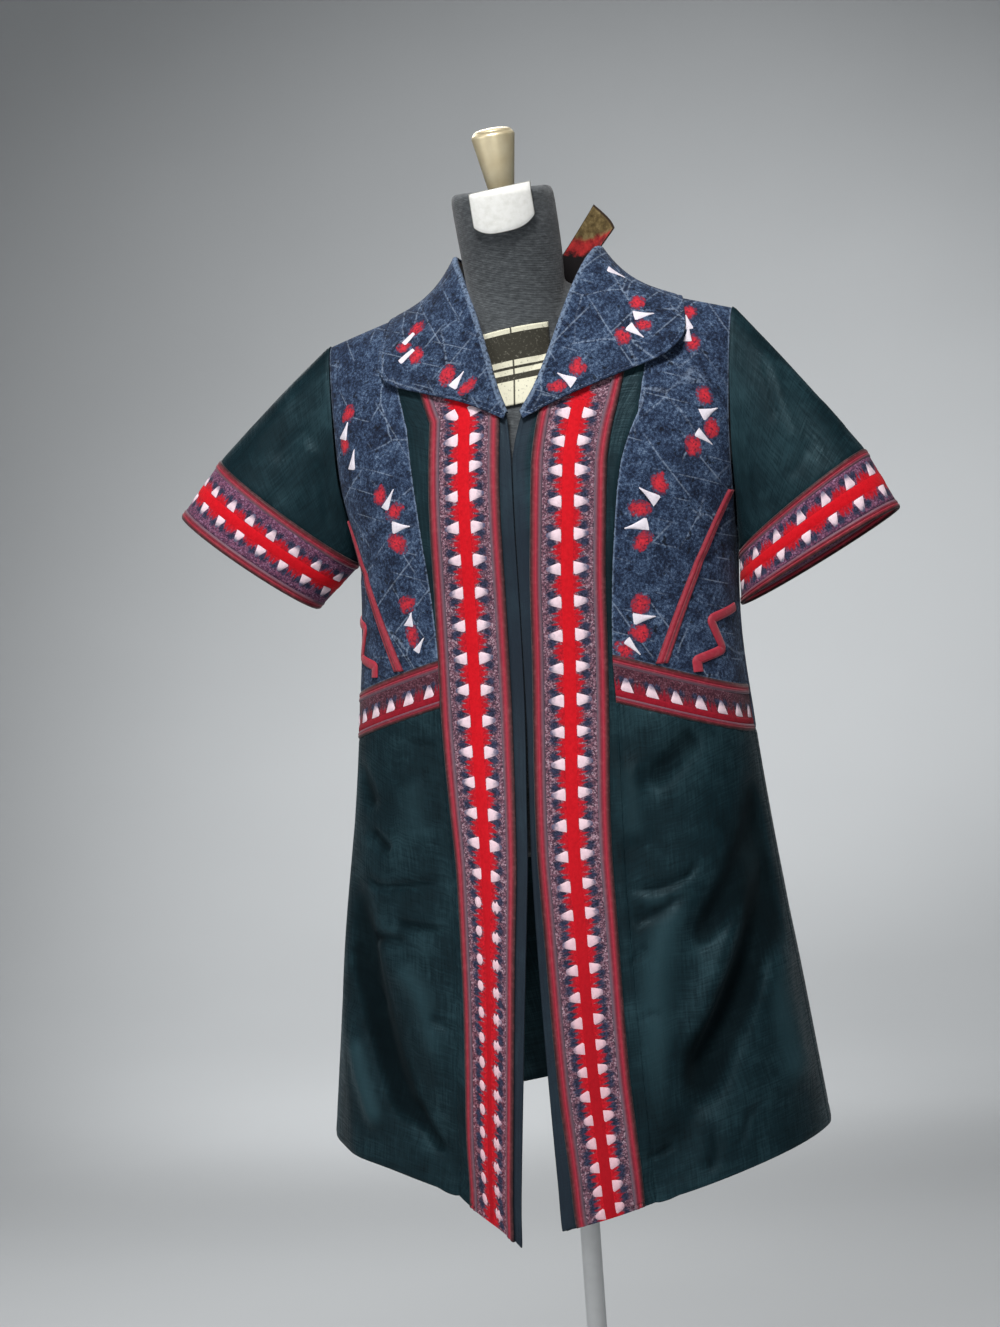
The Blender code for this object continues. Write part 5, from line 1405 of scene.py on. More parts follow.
def ringPoint(side, outer, inner, u):
    angle = 2 * math.pi * u
    (xo, zo), (xi, zi) = outer, inner
    x = side * ((xo + xi) / 2 + (xo - xi) / 2 * np.cos(angle))
    z = (zo + zi) / 2 + (zo - zi) / 2 * np.cos(angle)
    return np.stack(np.broadcast_arrays(x, -sleeve["halfDepth"] * np.sin(angle), z), axis=-1)


def makeSleeve(side):
    name, flip = sideNames[side], side == right
    seamOuter, seamInner, mouthOuter, mouthInner = sleeve["ends"][side]
    u, v = np.meshgrid(np.linspace(0.0, 1.0, 113), lines(46, 0.15))
    turn = np.where(u <= 0.5, 2.0 * u, 2.0 * (1.0 - u))
    share = np.maximum(np.cos(quarter * turn), 0.0)
    angle, level = armholePlace(share, u > 0.5)
    rise, forward = np.cos(2 * math.pi * u), np.sin(2 * math.pi * u)
    outward = unit(np.stack((side * np.maximum(-rise, 0.0), -forward, np.maximum(rise, 0.0)), -1))
    start = barePoint(side, angle, level) + outward * body["cloth"]
    start[..., 0] += side * mix(sleeve["gapUnderarm"], sleeve["gapTop"], share)
    points = mix(start, ringPoint(side, seamOuter, seamInner, u), v[..., None])
    swell = sleeve["bulge"] * np.sin(math.pi * v) * np.maximum(rise, 0.0)
    points = points + np.stack((side * swell, 0.0 * swell, swell), -1)
    ahead = ease(*sleeve["forward"], -points[..., 1])
    creased = creaseHeight(points, sleeve["creases"][side]) * ahead
    mirrored = points * np.array((-1.0, 1.0, 1.0))
    other = [(deep, wide, [(x, z + sleeve["behindRise"]) for x, z in path])
             for deep, wide, path in sleeve["creases"][-side]]
    creased = creased + creaseHeight(mirrored, other) * (1.0 - ahead) * sleeve["behindShare"]
    topSeam = np.exp(-((np.minimum(u, 1.0 - u) / sleeve["topSeamWidth"]) ** 2))
    points = dress(points, flip, groove=sewing["bodiceGroove"], closed=True,
                   extra=creased - sleeve["topSeamDeep"] * topSeam)
    tube = makeSheet("sleeve" + name, points, "darkSateen", body["cloth"], flip, True)
    declare(tube)

    def cuffGrid(first, last, shares):
        u, v = np.meshgrid(np.linspace(0.0, 1.0, 181), mix(first, last, shares))
        seam, mouth = ringPoint(side, seamOuter, seamInner, u), ringPoint(side, mouthOuter, mouthInner, u)
        return mix(seam, mouth, v[..., None])

    edge = sleeve["ribbonShare"]
    shares = np.linspace(0.0, 1.0, 15)
    points = cuffGrid(edge, 1.0 - edge, shares)
    wide = float(runLengths(points[:, 45:46], 0)[-1, 0])
    spots = (0.5 - shares) * wide
    run = runLengths(points[7:8], 1)[0]
    centres = evenCentres(run, sleeve["repeats"][side])
    tooth, gap = toothMarks(run, centres)
    band = makeSheet("cuffBand" + name, points, "cuffGround", body["cloth"], flip, True,
                     spine=spots[:, None], tooth=tooth[None, :], gap=gap[None, :])
    normals = gridNormals(points, flip, True)
    top = points + normals * body["cloth"]
    at = stripMap(top[::-1].swapaxes(0, 1), normals[::-1].swapaxes(0, 1), spots[::-1], run)
    trims = [sewMotifs("cuffNeedlework" + name, at, cuffChart, centres, (0.0, run[-1]), flip)]
    for part, ends in (("Upper", (0.0, edge)), ("Lower", (1.0 - edge, 1.0))):
        trims.append(sewRibbon("cuffRibbon" + part + name, lambda cross: cuffGrid(*ends, cross),
                               part == "Lower", flip, True))
    declare(band)


for wearerSide in (left, right):
    makeSleeve(wearerSide)
print("sleeves set in")

# Collar from the foot of the neck opening (0) to the middle of the back (1)
collar = {
    "rows": (  # along, neck x, neck turn, stand height, edge x, edge turn
        (0.00, 0.011, 26.9, 0.001, 0.013, 26.0),
        (0.12, 0.024, 33.0, 0.004, 0.055, 32.0),
        (0.24, 0.036, 42.0, 0.008, 0.100, 38.8),
        (0.34, 0.046, 51.0, 0.015, 0.139, 46.0),
        (0.42, 0.054, 59.0, 0.021, 0.155, 52.5),
        (0.50, 0.062, 68.0, 0.026, 0.159, 61.0),
        (0.58, 0.070, 80.0, 0.030, 0.156, 75.0),
        (0.66, 0.074, 95.0, 0.032, 0.148, 96.0),
        (0.76, 0.066, 106.0, 0.035, 0.125, 118.0),
        (0.88, 0.036, 112.0, 0.036, 0.070, 129.0),
        (1.00, 0.000, 114.0, 0.036, 0.000, 134.0),
    ),
    "lift": 0.0046, "shift": 0.007, "roll": 3.2, "rollRadius": 0.0012, "wall": 0.0018,
    "standStart": 0.56, "standInset": 0.0050, "belowFold": 0.003, "standFull": 0.9, "neckMiddleY": -0.030,
    "rightSag": (  # along, turn, neck inwards, edge inwards
        (0.00, 0.0, 0.0070, 0.007), (0.12, 0.0, 0.0070, 0.006), (0.24, 1.3, 0.0065, 0.006),
        (0.34, 3.2, 0.0045, 0.010), (0.42, 4.0, 0.0025, 0.011), (0.50, 2.6, 0.0010, 0.011),
        (0.58, 0.8, 0.0000, 0.010), (0.66, 0.0, 0.0000, 0.008), (0.76, 0.0, 0.0000, 0.003),
        (0.88, 0.0, 0.0000, 0.000), (1.00, 0.0, 0.0000, 0.000),
    ),
    "corner": (  # along, rise over the stand, lean out
        (0.560, 0.000, 0.000), (0.633, 0.000, 0.000), (0.707, 0.027, 0.018),
        (0.817, 0.057, 0.014), (0.927, 0.000, 0.000), (1.000, 0.000, 0.000),
    ),
    "edgeLift": 0.0022, "edgeDrop": -0.0028, "dropFrom": (0.44, 0.56), "liftFrom": (0.0, 0.12),
    "curl": 0.0044, "curlAt": 0.40, "curlWidth": 0.05, "rollTurns": (35.0, 75.0, 115.0, 155.0),
    "stitchIn": 0.0042, "stitchLength": 0.0026, "stitchGap": 0.0012, "stitchHalf": 0.0005,
    "stitchEnds": (0.005, 0.006), "grooveDeep": 0.0006, "grooveWidth": 0.0012,
    "creasesAhead": (0.02, -0.01), "standWall": 0.0012,
    "creases": (
        (-0.0012, 0.006, ((-0.120, 1.372), (-0.095, 1.366), (-0.070, 1.372))),
        (0.0012, 0.008, ((0.060, 1.345), (0.090, 1.350), (0.125, 1.365))),
        (-0.0010, 0.005, ((0.070, 1.330), (0.095, 1.328), (0.115, 1.338))),
        (-0.0010, 0.006, ((-0.060, 1.350), (-0.045, 1.330), (-0.035, 1.312))),
    ),
}


def overPoint(x, turn, out):
    level = turnLevel(turn)
    side = np.where(x >= 0.0, left, right)
    return bodyPoint(side, angleAt(np.abs(x), level, turn > 90.0), level, out)


def collarLines(u):
    side, along = bothSides(u)
    neckX, neckTurn, stand, edgeOut, edgeTurn = (curveAt(collar["rows"], along, k) for k in range(1, 6))
    shift = collar["shift"] * np.sin(quarter * np.minimum(2.0 * along, 1.0))
    sag = [np.where(side == right, curveAt(collar["rightSag"], along, k), 0.0) for k in (1, 2, 3)]
    neck = (side * (neckX - sag[1]) + shift, neckTurn)
    return side, along, neck, (side * (edgeOut - sag[2]) + shift, edgeTurn - sag[0]), stand


def makeCollar():
    columns = np.unique(np.concatenate((np.linspace(0.0, 1.0, 181), (0.002, 0.004, 0.996, 0.998))))
    u, v = np.meshgrid(columns, lines(24, 0.08))
    side, along, neck, edge, stand = collarLines(u)
    points = overPoint(mix(edge[0], neck[0], v), mix(edge[1], neck[1], v), collar["lift"])
    points[..., 2] += stand * v ** collar["roll"]
    normals = gridNormals(points)
    lift = mix(collar["edgeLift"], collar["edgeDrop"], ease(*collar["dropFrom"], along))
    lift = lift * ease(*collar["liftFrom"], along)
    curled = np.exp(-(((along - collar["curlAt"]) / collar["curlWidth"]) ** 2))
    lift = lift + collar["curl"] * curled * (side == left)
    points = points + normals * (lift * (1.0 - v) ** 3)[..., None]
    ahead = unit(points[-1] - points[-3])
    for turn in np.radians(collar["rollTurns"]):  # the fold rolls over to the stand
        step = ahead * math.sin(turn) - normals[-1] * (1.0 - math.cos(turn))
        points = np.concatenate((points, (points[len(v) - 1] + step * collar["rollRadius"])[None]))
    smoothed = gridNormals(points)
    height = creaseHeight(points, collar["creases"]) * ease(*collar["creasesAhead"], points[..., 1])
    deep, across = runLengths(points, 0), runLengths(points, 1)
    fold = np.abs(deep - deep[len(v) - 1])
    rim = np.minimum(deep, np.minimum(across, across[:, -1:] - across))
    groove = np.exp(-(((rim - collar["stitchIn"]) / collar["grooveWidth"]) ** 2))
    points = points + smoothed * (height - collar["grooveDeep"] * groove)[..., None]
    fall = makeSheet("collarFall", points, "washedDenim", collar["wall"], rim=fold)

    # pale stitches along the outer edge
    bm = startPads()
    rows = np.arange(points.shape[0], dtype=float)
    face = points + smoothed * collar["wall"]
    at = stripMap(face.swapaxes(0, 1), smoothed.swapaxes(0, 1), rows, columns)
    deep = runLengths(points, 0)
    lineUp = np.array([np.interp(collar["stitchIn"], deep[:, k], rows) for k in range(len(columns))])
    edgeRun = runLengths(points[3:4], 1)[0]
    place = collar["stitchEnds"][0]
    a, b, h = padGrid(collar["stitchLength"], oval(collar["stitchHalf"]), collar["stitchHalf"], 2, 4)
    while place < edgeRun[-1] - collar["stitchEnds"][1]:
        here = np.interp(place + b, edgeRun, columns)
        perRow = np.interp(here, columns, deep[6]) / 6.0
        addPad(bm, at(np.interp(here, columns, lineUp) - a / perRow, here, h), np.stack((a, b), -1), 0)
        place += collar["stitchLength"] + collar["stitchGap"]
    stitches = addPiece("collarStitches", bm, ["paleThread"], False)

    first = collar["standStart"]
    corners = [(row[0] - first) / 2 / (1.0 - first) for row in collar["corner"]]
    columns = np.unique(np.concatenate((np.linspace(0.0, 1.0, 101), corners)))
    u, v = np.meshgrid(columns, np.linspace(0.0, 1.0, 27))
    side, along, neck, edge, stand = collarLines(mix(first / 2, 1.0 - first / 2, u))
    foot = overPoint(neck[0], neck[1], collar["lift"])
    middle = np.array((0.0, collar["neckMiddleY"], 0.0))
    inward = unit((middle - foot) * np.array((1.0, 1.0, 0.0)))
    places, rises, leans = np.array(collar["corner"]).T
    over = np.maximum(2.0 * v - 1.0, 0.0)
    rise = np.where(side == left, np.interp(along, places, rises), 0.0) * over
    lean = np.where(side == left, np.interp(along, places, leans), 0.0) * over * over
    full = collar["standFull"]
    height = (stand - collar["belowFold"]) * np.where(v <= 0.5, full * 2.0 * v, mix(full, 1.0, over)) + rise
    points = foot + inward * collar["standInset"] + np.stack((lean, 0.0 * lean, height), -1)
    inner = makeSheet("collarStand", points, "oliveCloth", collar["standWall"], rise=rise)
    declare(inner)
    return fall, stitches


collarFall, collarStitches = makeCollar()
print("collar turned down")

# Scattered sprigs: red ovals, white leaves and bars, each with x, z, direction, length and width
sprigs = {
    left: (
        ("red", 0.1846, 1.2951, 100, 0.0175, 0.0145), ("white", 0.1885, 1.2789, 20, 0.0180, 0.0125),
        ("red", 0.1897, 1.2628, 80, 0.0170, 0.0145), ("white", 0.1831, 1.2532, -40, 0.0190, 0.0095),
        ("red", 0.1729, 1.2459, 95, 0.0200, 0.0140),
        ("red", 0.1410, 1.2124, 100, 0.0205, 0.0145), ("white", 0.1302, 1.2022, 140, 0.0205, 0.0118),
        ("red", 0.1211, 1.1890, -15, 0.0205, 0.0145), ("white", 0.1172, 1.1726, 188, 0.0215, 0.0128),
        ("red", 0.1218, 1.1576, 45, 0.0215, 0.0140),
        ("red", 0.1160, 1.0971, 70, 0.0195, 0.0155), ("white", 0.1190, 1.0841, 3, 0.0205, 0.0120),
        ("red", 0.1144, 1.0698, -15, 0.0195, 0.0150), ("white", 0.1070, 1.0566, -50, 0.0185, 0.0085),
        ("red", 0.0990, 1.0542, -50, 0.0200, 0.0140),
        ("red", 0.1700, 1.3800, 60, 0.0160, 0.0130), ("white", 0.1690, 1.3700, 95, 0.0165, 0.0080),
        ("white", 0.1700, 1.3574, 80, 0.0165, 0.0085), ("red", 0.1745, 1.3477, 70, 0.0170, 0.0130),
    ),
    right: (
        ("red", -0.1778, 1.3090, 70, 0.0180, 0.0145), ("white", -0.1814, 1.2926, 70, 0.0180, 0.0125),
        ("red", -0.1827, 1.2778, 100, 0.0165, 0.0130), ("white", -0.1723, 1.2626, 80, 0.0190, 0.0110),
        ("red", -0.1406, 1.2232, 80, 0.0185, 0.0140), ("white", -0.1303, 1.2187, 60, 0.0205, 0.0090),
        ("red", -0.1246, 1.2058, 30, 0.0200, 0.0145), ("white", -0.1186, 1.1901, 0, 0.0195, 0.0130),
        ("red", -0.1235, 1.1746, -35, 0.0225, 0.0155),
        ("red", -0.1174, 1.1142, 20, 0.0185, 0.0150), ("white", -0.1151, 1.0990, 75, 0.0130, 0.0115),
        ("red", -0.1137, 1.0838, 100, 0.0205, 0.0125), ("white", -0.1058, 1.0735, 55, 0.0150, 0.0075),
    ),
    "collar": (
        ("red", -0.1006, 1.3878, 40, 0.0175, 0.0140), ("bar", -0.1089, 1.3781, 50, 0.0150, 0.0062),
        ("red", -0.1140, 1.3700, 10, 0.0145, 0.0110), ("bar", -0.1095, 1.3605, 45, 0.0185, 0.0062),
        ("red", -0.0990, 1.3595, 100, 0.0190, 0.0140),
        ("red", -0.0645, 1.3350, 75, 0.0200, 0.0145), ("white", -0.0530, 1.3300, 55, 0.0185, 0.0100),
        ("red", -0.0430, 1.3225, 38, 0.0215, 0.0110),
        ("red", 0.0673, 1.3310, 100, 0.0180, 0.0140), ("white", 0.0560, 1.3215, 145, 0.0185, 0.0118),
        ("red", 0.0480, 1.3135, 5, 0.0180, 0.0120),
        ("red", 0.1218, 1.3931, 60, 0.0165, 0.0135), ("white", 0.1292, 1.3794, 5, 0.0190, 0.0118),
        ("red", 0.1297, 1.3687, -20, 0.0165, 0.0135), ("white", 0.1224, 1.3622, -45, 0.0185, 0.0110),
        ("red", 0.1106, 1.3585, 100, 0.0180, 0.0135),
        ("white", 0.0999, 1.4251, -40, 0.0180, 0.0080), ("red", -0.1429, 1.3830, 60, 0.0160, 0.0130),
        ("white", -0.1460, 1.3720, 60, 0.0165, 0.0100), ("red", -0.1500, 1.3590, 30, 0.0170, 0.0145),
    ),
}
sprigGrow = {"red": (1.42, 1.52), "white": (1.12, 1.22), "bar": (1.10, 1.15)}  # on the length and the width
sprigHeight = {"red": 0.0003, "white": 0.0009, "bar": 0.0009}


def sewSprigs(name, cloth, items):
    # each pad is laid on the cloth along the cloth's own normal
    bpy.context.view_layer.update()
    tree = BVHTree.FromObject(cloth, bpy.context.evaluated_depsgraph_get())
    bm = startPads()
    for kind, x, z, way, length, width in items:
        hit, normal = tree.ray_cast(Vector((x, -0.6, z)), Vector((0.0, 1.0, 0.0)))[:2]
        if hit is None:
            print("no cloth under", name, x, z)
            continue
        length, width = (size * more for size, more in zip((length, width), sprigGrow[kind]))
        rightWay = Vector((0.0, 0.0, 1.0)).cross(normal)
        rightWay = rightWay.normalized() if rightWay.length > 0.05 else Vector((1.0, 0.0, 0.0))
        upWay = normal.cross(rightWay)
        turn = math.radians(way)
        onward = rightWay * math.cos(turn) + upWay * math.sin(turn)
        aside = onward.cross(normal)
        outline = {"red": oval(width / 2), "white": taperTo(width / 2, 0.0006, 1.45),
                   "bar": taperTo(width / 2, width * 0.36)}[kind]
        a, b, h = padGrid(length, outline, sprigHeight[kind], 6, 8)
        places = np.zeros((*a.shape, 3))
        for k in np.ndindex(a.shape):
            spot = hit + aside * a[k] + onward * (b[k] - length / 2)
            under = tree.ray_cast(spot + normal * 0.03, -normal)
            places[k] = (under[0] if under[0] is not None else spot) + normal * h[k]
        share = np.stack((2 * a / width, 2 * b / length - 1.0), -1)  # 1 at the edge of an oval
        addPad(bm, places, share if kind == "red" else np.stack((b, a), -1), 0 if kind == "red" else 1)
    return addPiece(name, bm, ["washedRed", "whiteThread"], False)


for wearerSide in (left, right):
    panel, tape = panels[wearerSide]
    sprig = sewSprigs("sprigs" + sideNames[wearerSide], panel, sprigs[wearerSide])
    declare(panel)
collarSprigs = sewSprigs("sprigsCollar", collarFall, sprigs["collar"])
declare(collarFall)
print("sprigs sewn")

# Dress form and its stand
form = {
    "width": 0.92, "depth": 0.90, "drop": 0.004, "foot": 0.860, "straight": 1.02,
    "footRows": ((0.860, 0.90), (0.864, 0.965), (0.872, 0.992)),  # level, share of the full width
    "neck": (  # height, half width, front, back
        (1.270, 0.058, -0.074, 0.020),
        (1.310, 0.056, -0.072, 0.020),
        (1.350, 0.052, -0.0705, 0.018),
        (1.400, 0.048, -0.077, 0.016),
        (1.450, 0.0500, -0.0925, 0.0095),
        (1.509, 0.0505, -0.1155, -0.0145),
        (1.513, 0.0485, -0.1140, -0.0165),
    ),
    "tilt": math.tan(math.radians(9.0)), "tiltFrom": 1.450,
    "tabAngle": math.radians(12.0), "tabSweep": math.radians(34.0), "tabTop": 1.5145, "tabHeight": 0.040,
    "tabRound": 0.24, "tabLift": 0.0018, "tabWall": 0.0022, "tabSlant": 0.0034, "tabGroove": 0.0005,
    "labelHalf": 0.036, "labelFoot": 1.300, "labelTop": 1.376, "labelSlant": 0.114, "labelLift": 0.0015,
    "labelWall": 0.0012, "labelCrease": 0.002,
    "voxel": 0.0042,
    "finial": (0.0, -0.0655, 1.5142), "finialHeight": 0.0535, "finialRadii": (0.0130, 0.0215),
    "finialDome": 0.0055, "finialEdge": 0.0025, "finialLean": (9.0, -3.0),
    "pole": 0.0100, "collet": (0.030, 0.040), "colletFlare": 0.004, "base": (0.200, 0.016, 0.004),
    "standGap": 0.0004, "bevel": 0.0012,
}


def formPoint(angle, level, tuck=1.0):
    turn = np.arccos(np.clip(np.cos(angle), -1.0, 1.0))
    point = barePoint(left, turn, np.maximum(level, form["straight"]))
    x = np.copysign(point[..., 0], np.sin(angle))
    z = np.where(level >= body["underarm"], point[..., 2] - form["drop"], level)
    return np.stack((x * form["width"] * tuck, point[..., 1] * form["depth"] * tuck, z), -1)


def neckRing(height):
    return tuple(curveAt(form["neck"], height, k) for k in (1, 2, 3))


def closedTube(name, points):
    bm = bmesh.new()
    bmesh.ops.create_grid(bm, x_segments=points.shape[1] - 1, y_segments=points.shape[0] - 1, size=0.5)
    for vert, spot in zip(bm.verts, points.reshape(-1, 3).tolist()):
        vert.co = spot
    bmesh.ops.remove_doubles(bm, verts=bm.verts, dist=0.00002)
    bmesh.ops.holes_fill(bm, edges=bm.edges, sides=0)
    bmesh.ops.recalc_face_normals(bm, faces=bm.faces)
    return newObject(name, bm)


def makeForm():
    footLevels, footShares = zip(*form["footRows"])
    chest = turnLevel(np.linspace(4, 90, 30))
    levels = np.concatenate((footLevels, np.linspace(0.885, body["underarm"], 24), chest))
    tuck = np.concatenate((footShares, np.ones(len(levels) - len(footShares))))
    angle, level = np.meshgrid(np.linspace(0.0, 2 * math.pi, 97), levels)
    torso = closedTube("torsoBlank", formPoint(angle, level, tuck[:, None]))
    heights = np.concatenate((np.linspace(1.27, 1.509, 40), (1.5115, 1.513)))
    angle, height = np.meshgrid(np.linspace(0.0, 2 * math.pi, 97), heights)
    half, ahead, behind = neckRing(height)
    centre, reach = (ahead + behind) / 2, (behind - ahead) / 2
    y = centre - reach * np.cos(angle)
    tilt = form["tilt"] * ease(form["tiltFrom"] - 0.02, form["tiltFrom"] + 0.03, height)
    neck = closedTube("neckBlank", np.stack((half * np.sin(angle), y, height + tilt * (y - centre)), -1))
    join = torso.modifiers.new("join", "BOOLEAN")
    join.operation = "UNION"
    join.object = neck
    skin = torso.modifiers.new("skin", "REMESH")
    skin.mode = "VOXEL"
    skin.voxel_size = form["voxel"]
    easeOff = torso.modifiers.new("ease", "SMOOTH")
    easeOff.iterations = 6
    bpy.context.view_layer.update()
    mesh = bpy.data.meshes.new_from_object(torso.evaluated_get(bpy.context.evaluated_depsgraph_get()))
    bm = bmesh.new()
    bm.from_mesh(mesh)
    smooth(bm)
    for blank in (torso, neck):
        bpy.data.objects.remove(blank, do_unlink=True)
    return addPiece("formBody", bm, ["greyJersey"])


def makeFormTrim():
    across, v = np.meshgrid(np.linspace(-1.0, 1.0, 41), lines(24, 0.04, (0.0006, 0.0014, 0.0026)))
    top = form["tabTop"] + form["tabSlant"] * across
    foot = top - form["tabHeight"] * (1.0 - form["tabRound"] * np.abs(across) ** 3)
    height = mix(foot, top, v)
    half, ahead, behind = neckRing(np.minimum(height, form["neck"][-2][0]))
    centre, reach = (ahead + behind) / 2, (behind - ahead) / 2
    angle = form["tabAngle"] + form["tabSweep"] * across
    y = centre - (reach + form["tabLift"]) * np.cos(angle)
    z = height + form["tilt"] * (y - centre)
    points = np.stack(((half + form["tabLift"]) * np.sin(angle), y, z), -1)
    points = dress(points, groove=form["tabGroove"])
    tab = makeSheet("formTab", points, "paleTab", form["tabWall"])
    declare(tab)

    x, v = np.meshgrid(np.linspace(-1.0, 1.0, 45) * form["labelHalf"], np.linspace(0.0, 1.0, 45))
    height = mix(form["labelFoot"], form["labelTop"], v) + form["labelSlant"] * x
    out = np.abs(x) / form["width"]
    shoulder = body["shoulder"] + (body["tipX"] - out) * body["slope"]
    share = np.clip((height + form["drop"] - body["underarm"]) / (shoulder - body["underarm"]), 0.0, 1.0)
    level = mix(body["underarm"], body["shoulder"], share)
    spot = formPoint(np.sign(x) * angleAt(out, level), level)
    half, ahead, behind = neckRing(height)
    share = np.clip(np.abs(x) / half, 0.0, 1.0)
    neckFront = (ahead + behind) / 2 - (behind - ahead) / 2 * np.sqrt(1.0 - share * share)
    points = np.stack((x, np.minimum(spot[..., 1], neckFront) - form["labelLift"], height), -1)
    label = makeSheet("formLabel", points, "wovenLabel", form["labelWall"], height=v,
                      crease=np.abs(x - form["labelCrease"]))
    declare(label)


def spun(profile, steps, near):
    # a profile of radius and height, spun round the upright axis
    bm = bmesh.new()
    verts = [bm.verts.new((radius, 0.0, height)) for radius, height in profile]
    edges = [bm.edges.new(pair) for pair in zip(verts, verts[1:])]
    bmesh.ops.spin(bm, geom=verts + edges, cent=(0.0, 0.0, 0.0), axis=(0.0, 0.0, 1.0), angle=2 * math.pi,
                   steps=steps, use_merge=True)
    bmesh.ops.remove_doubles(bm, verts=bm.verts, dist=near)
    bmesh.ops.recalc_face_normals(bm, faces=bm.faces)
    return bm


def turned(name, profile, finish, place=(0.0, 0.0, 0.0), lean=(0.0, 0.0)):
    # a spun piece with softened edges
    bm = spun(profile, 72, 0.00002)
    sharp = [edge for edge in bm.edges if len(edge.link_faces) == 2 and edge.calc_face_angle(0.0) > 0.45]
    bmesh.ops.bevel(bm, geom=sharp, offset=form["bevel"], affect="EDGES", segments=3, profile=0.5,
                    material=-1)
    smooth(bm)
    tilt = Matrix.Rotation(math.radians(lean[1]), 4, "Y") @ Matrix.Rotation(math.radians(lean[0]), 4, "X")
    bmesh.ops.transform(bm, matrix=Matrix.Translation(place) @ tilt, verts=bm.verts)
    return addPiece(name, bm, [finish])


def makeStand():
    top, dome, edge = form["finialHeight"], form["finialDome"], form["finialEdge"]
    low, high = form["finialRadii"]
    cap = [((high - edge) * math.sin(t), top + edge / 2 + (dome - edge / 2) * math.cos(t))
           for t in np.linspace(0.0, quarter, 9)]
    profile = [*cap, (high, top - edge), (low, 0.0), (0.0, 0.0)]
    turned("formFinial", profile, "satinBrass", form["finial"], form["finialLean"])
    pole, (wide, tall), (reach, thick, edge) = form["pole"], form["collet"], form["base"]
    gap, flare = form["standGap"], form["colletFlare"]
    foot, neck = form["foot"], pole * 1.25
    under, over = foot - gap, thick + gap
    profile = ((0.0, under), (wide, under), (wide, foot - tall / 3), (neck, foot - tall),
               (pole, foot - tall - flare), (pole, thick + tall + flare), (neck, thick + tall),
               (wide, thick + tall / 3), (wide, over), (0.0, over))
    turned("standPole", profile, "paleEnamel")
    profile = ((0.0, thick), (reach - edge, thick), (reach, thick - edge), (reach, 0.0), (0.0, 0.0))
    turned("standBase", profile, "paleEnamel")


makeForm()
makeFormTrim()
makeStand()
print("form and stand done")

# Studio: a pale floor that curves up all round, soft lights and the photograph's viewpoint
studio = {
    "flat": 4.2, "wall": 8.6, "height": 7.0,
    "eyeDistance": 3.0, "eyeHeight": 1.05, "azimuth": 15.0, "roll": -4.0, "aside": -0.0506,
    "lens": 36.0 * 3.0 / 1.327,
    "lights": (  # name, place, aim, size, power, colour
        ("keyLight", (0.15, -2.0, 3.8), (0.0, 0.0, 1.0), 0.9, 128.0, (1.0, 0.985, 0.97)),
        ("fillLight", (-2.6, -2.4, 1.8), (0.0, 0.0, 1.0), 2.2, 24.0, (0.97, 0.985, 1.0)),
        ("frontLight", (1.2, -3.8, 1.5), (0.0, 0.0, 0.9), 1.6, 15.0, (1.0, 1.0, 1.0)),
        ("backLight", (-1.2, 2.6, 3.2), (0.0, 0.0, 1.2), 2.0, 44.0, (1.0, 1.0, 1.0)),
    ),
    "spots": (  # name, place, aim, power, cone
        ("wallGlow", (-0.05, 3.99, 5.06), (-1.91, 8.43, 0.48), 481.0, 70.6),
        ("floorGlow", (0.55, 2.18, 4.00), (-1.39, 2.21, 0.05), 150.0, 40.5),
        ("lowGlow", (-1.73, 2.35, 2.54), (-1.11, 5.10, 0.55), 400.0, 86.5),
    ),
    "spotSoft": 0.5, "skyStrength": 0.08, "skyColour": (0.92, 0.95, 1.0, 1.0),
}


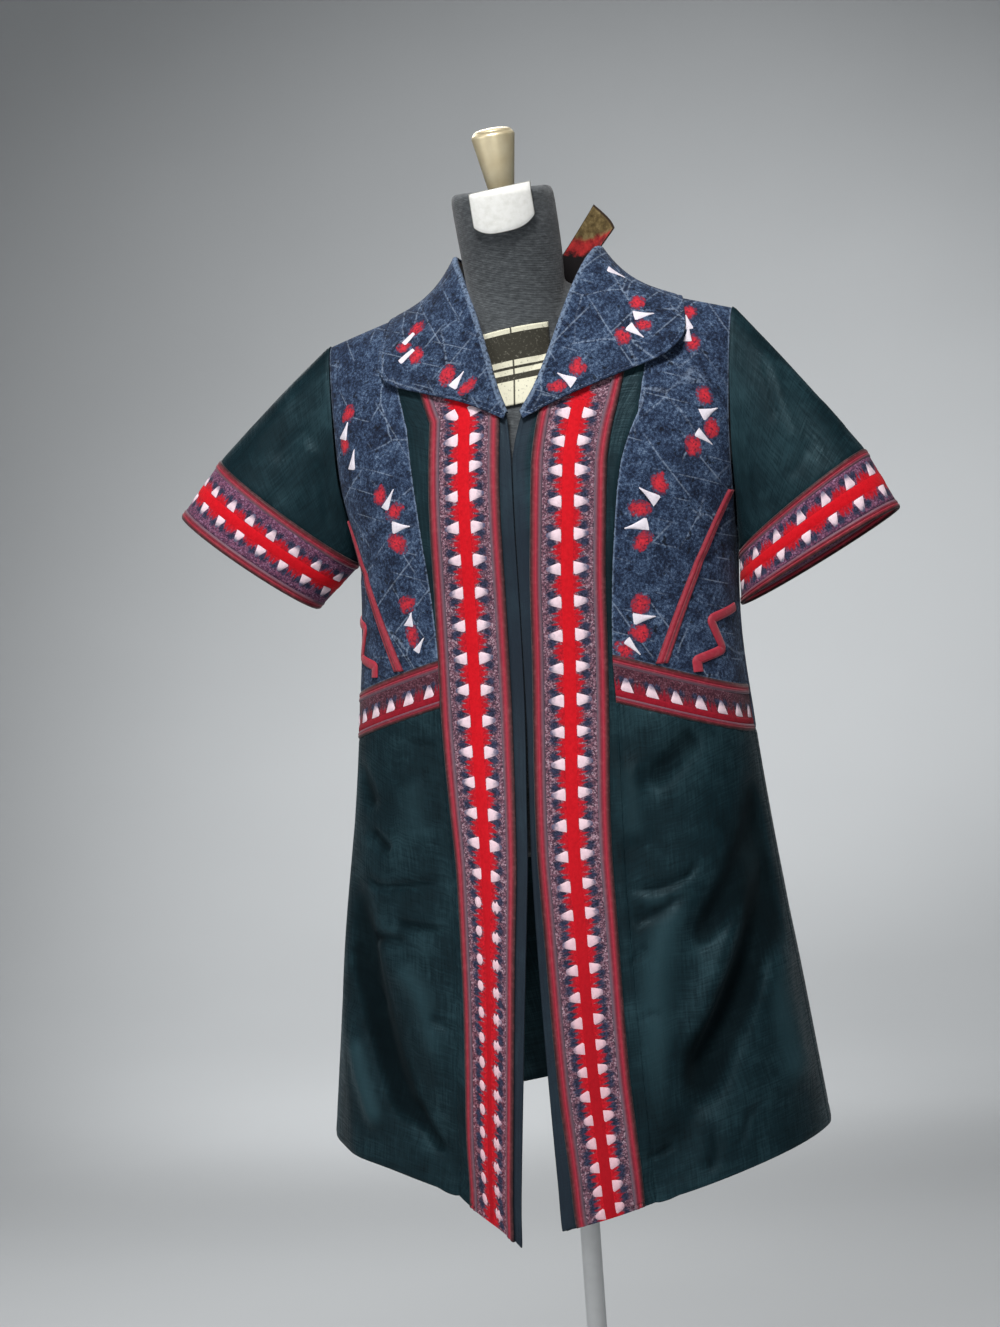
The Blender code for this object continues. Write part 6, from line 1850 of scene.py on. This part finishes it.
def addLight(kind, name, place, aim, power, **settings):
    lamp = bpy.data.lights.new(name, kind)
    lamp.energy = power
    for key, value in settings.items():
        setattr(lamp, key, value)
    light = bpy.data.objects.new(name, lamp)
    light.location = place
    light.rotation_euler = (Vector(aim) - Vector(place)).to_track_quat("-Z", "Y").to_euler()
    light.visible_camera = False
    scene.collection.objects.link(light)


def makeStudio():
    flat, wall, height = studio["flat"], studio["wall"], studio["height"]
    bend = wall - flat
    profile = [(0.0, 0.0), (flat, 0.0)]
    turns = np.radians(np.arange(6, 91, 6))
    profile += [(flat + bend * math.sin(t), bend * (1.0 - math.cos(t))) for t in turns]
    profile.append((wall, height))
    bm = spun(profile, 96, 0.0001)
    bmesh.ops.reverse_faces(bm, faces=bm.faces)
    smooth(bm)
    floor = newObject("studioFloor", bm, ["studioFloor"])
    for name, place, aim, size, power, colour in studio["lights"]:
        addLight("AREA", name, place, aim, power, shape="DISK", size=size, color=colour)
    for name, place, aim, power, cone in studio["spots"]:
        addLight("SPOT", name, place, aim, power, spot_size=math.radians(cone), spot_blend=1.0,
                 shadow_soft_size=studio["spotSoft"])
    world = bpy.data.worlds.new("studioSky")
    world.use_nodes = True
    sky = world.node_tree.nodes["Background"].inputs
    sky["Color"].default_value = studio["skyColour"]
    sky["Strength"].default_value = studio["skyStrength"]
    scene.world = world

    camera = bpy.data.objects.new("camera", bpy.data.cameras.new("camera"))
    camera.data.sensor_fit = "VERTICAL"
    camera.data.sensor_height = 36.0
    camera.data.lens = studio["lens"]
    a = math.radians(studio["azimuth"])
    back, aside = Vector((math.sin(a), -math.cos(a), 0.0)), Vector((math.cos(a), math.sin(a), 0.0))
    place = back * studio["eyeDistance"] + aside * studio["aside"] + Vector((0.0, 0.0, studio["eyeHeight"]))
    turn = back.to_track_quat("Z", "Y").to_matrix().to_4x4()
    roll = Matrix.Rotation(math.radians(studio["roll"]), 4, "Z")
    camera.matrix_world = Matrix.Translation(place) @ turn @ roll
    scene.collection.objects.link(camera)
    scene.camera = camera


makeStudio()
print("studio lit")
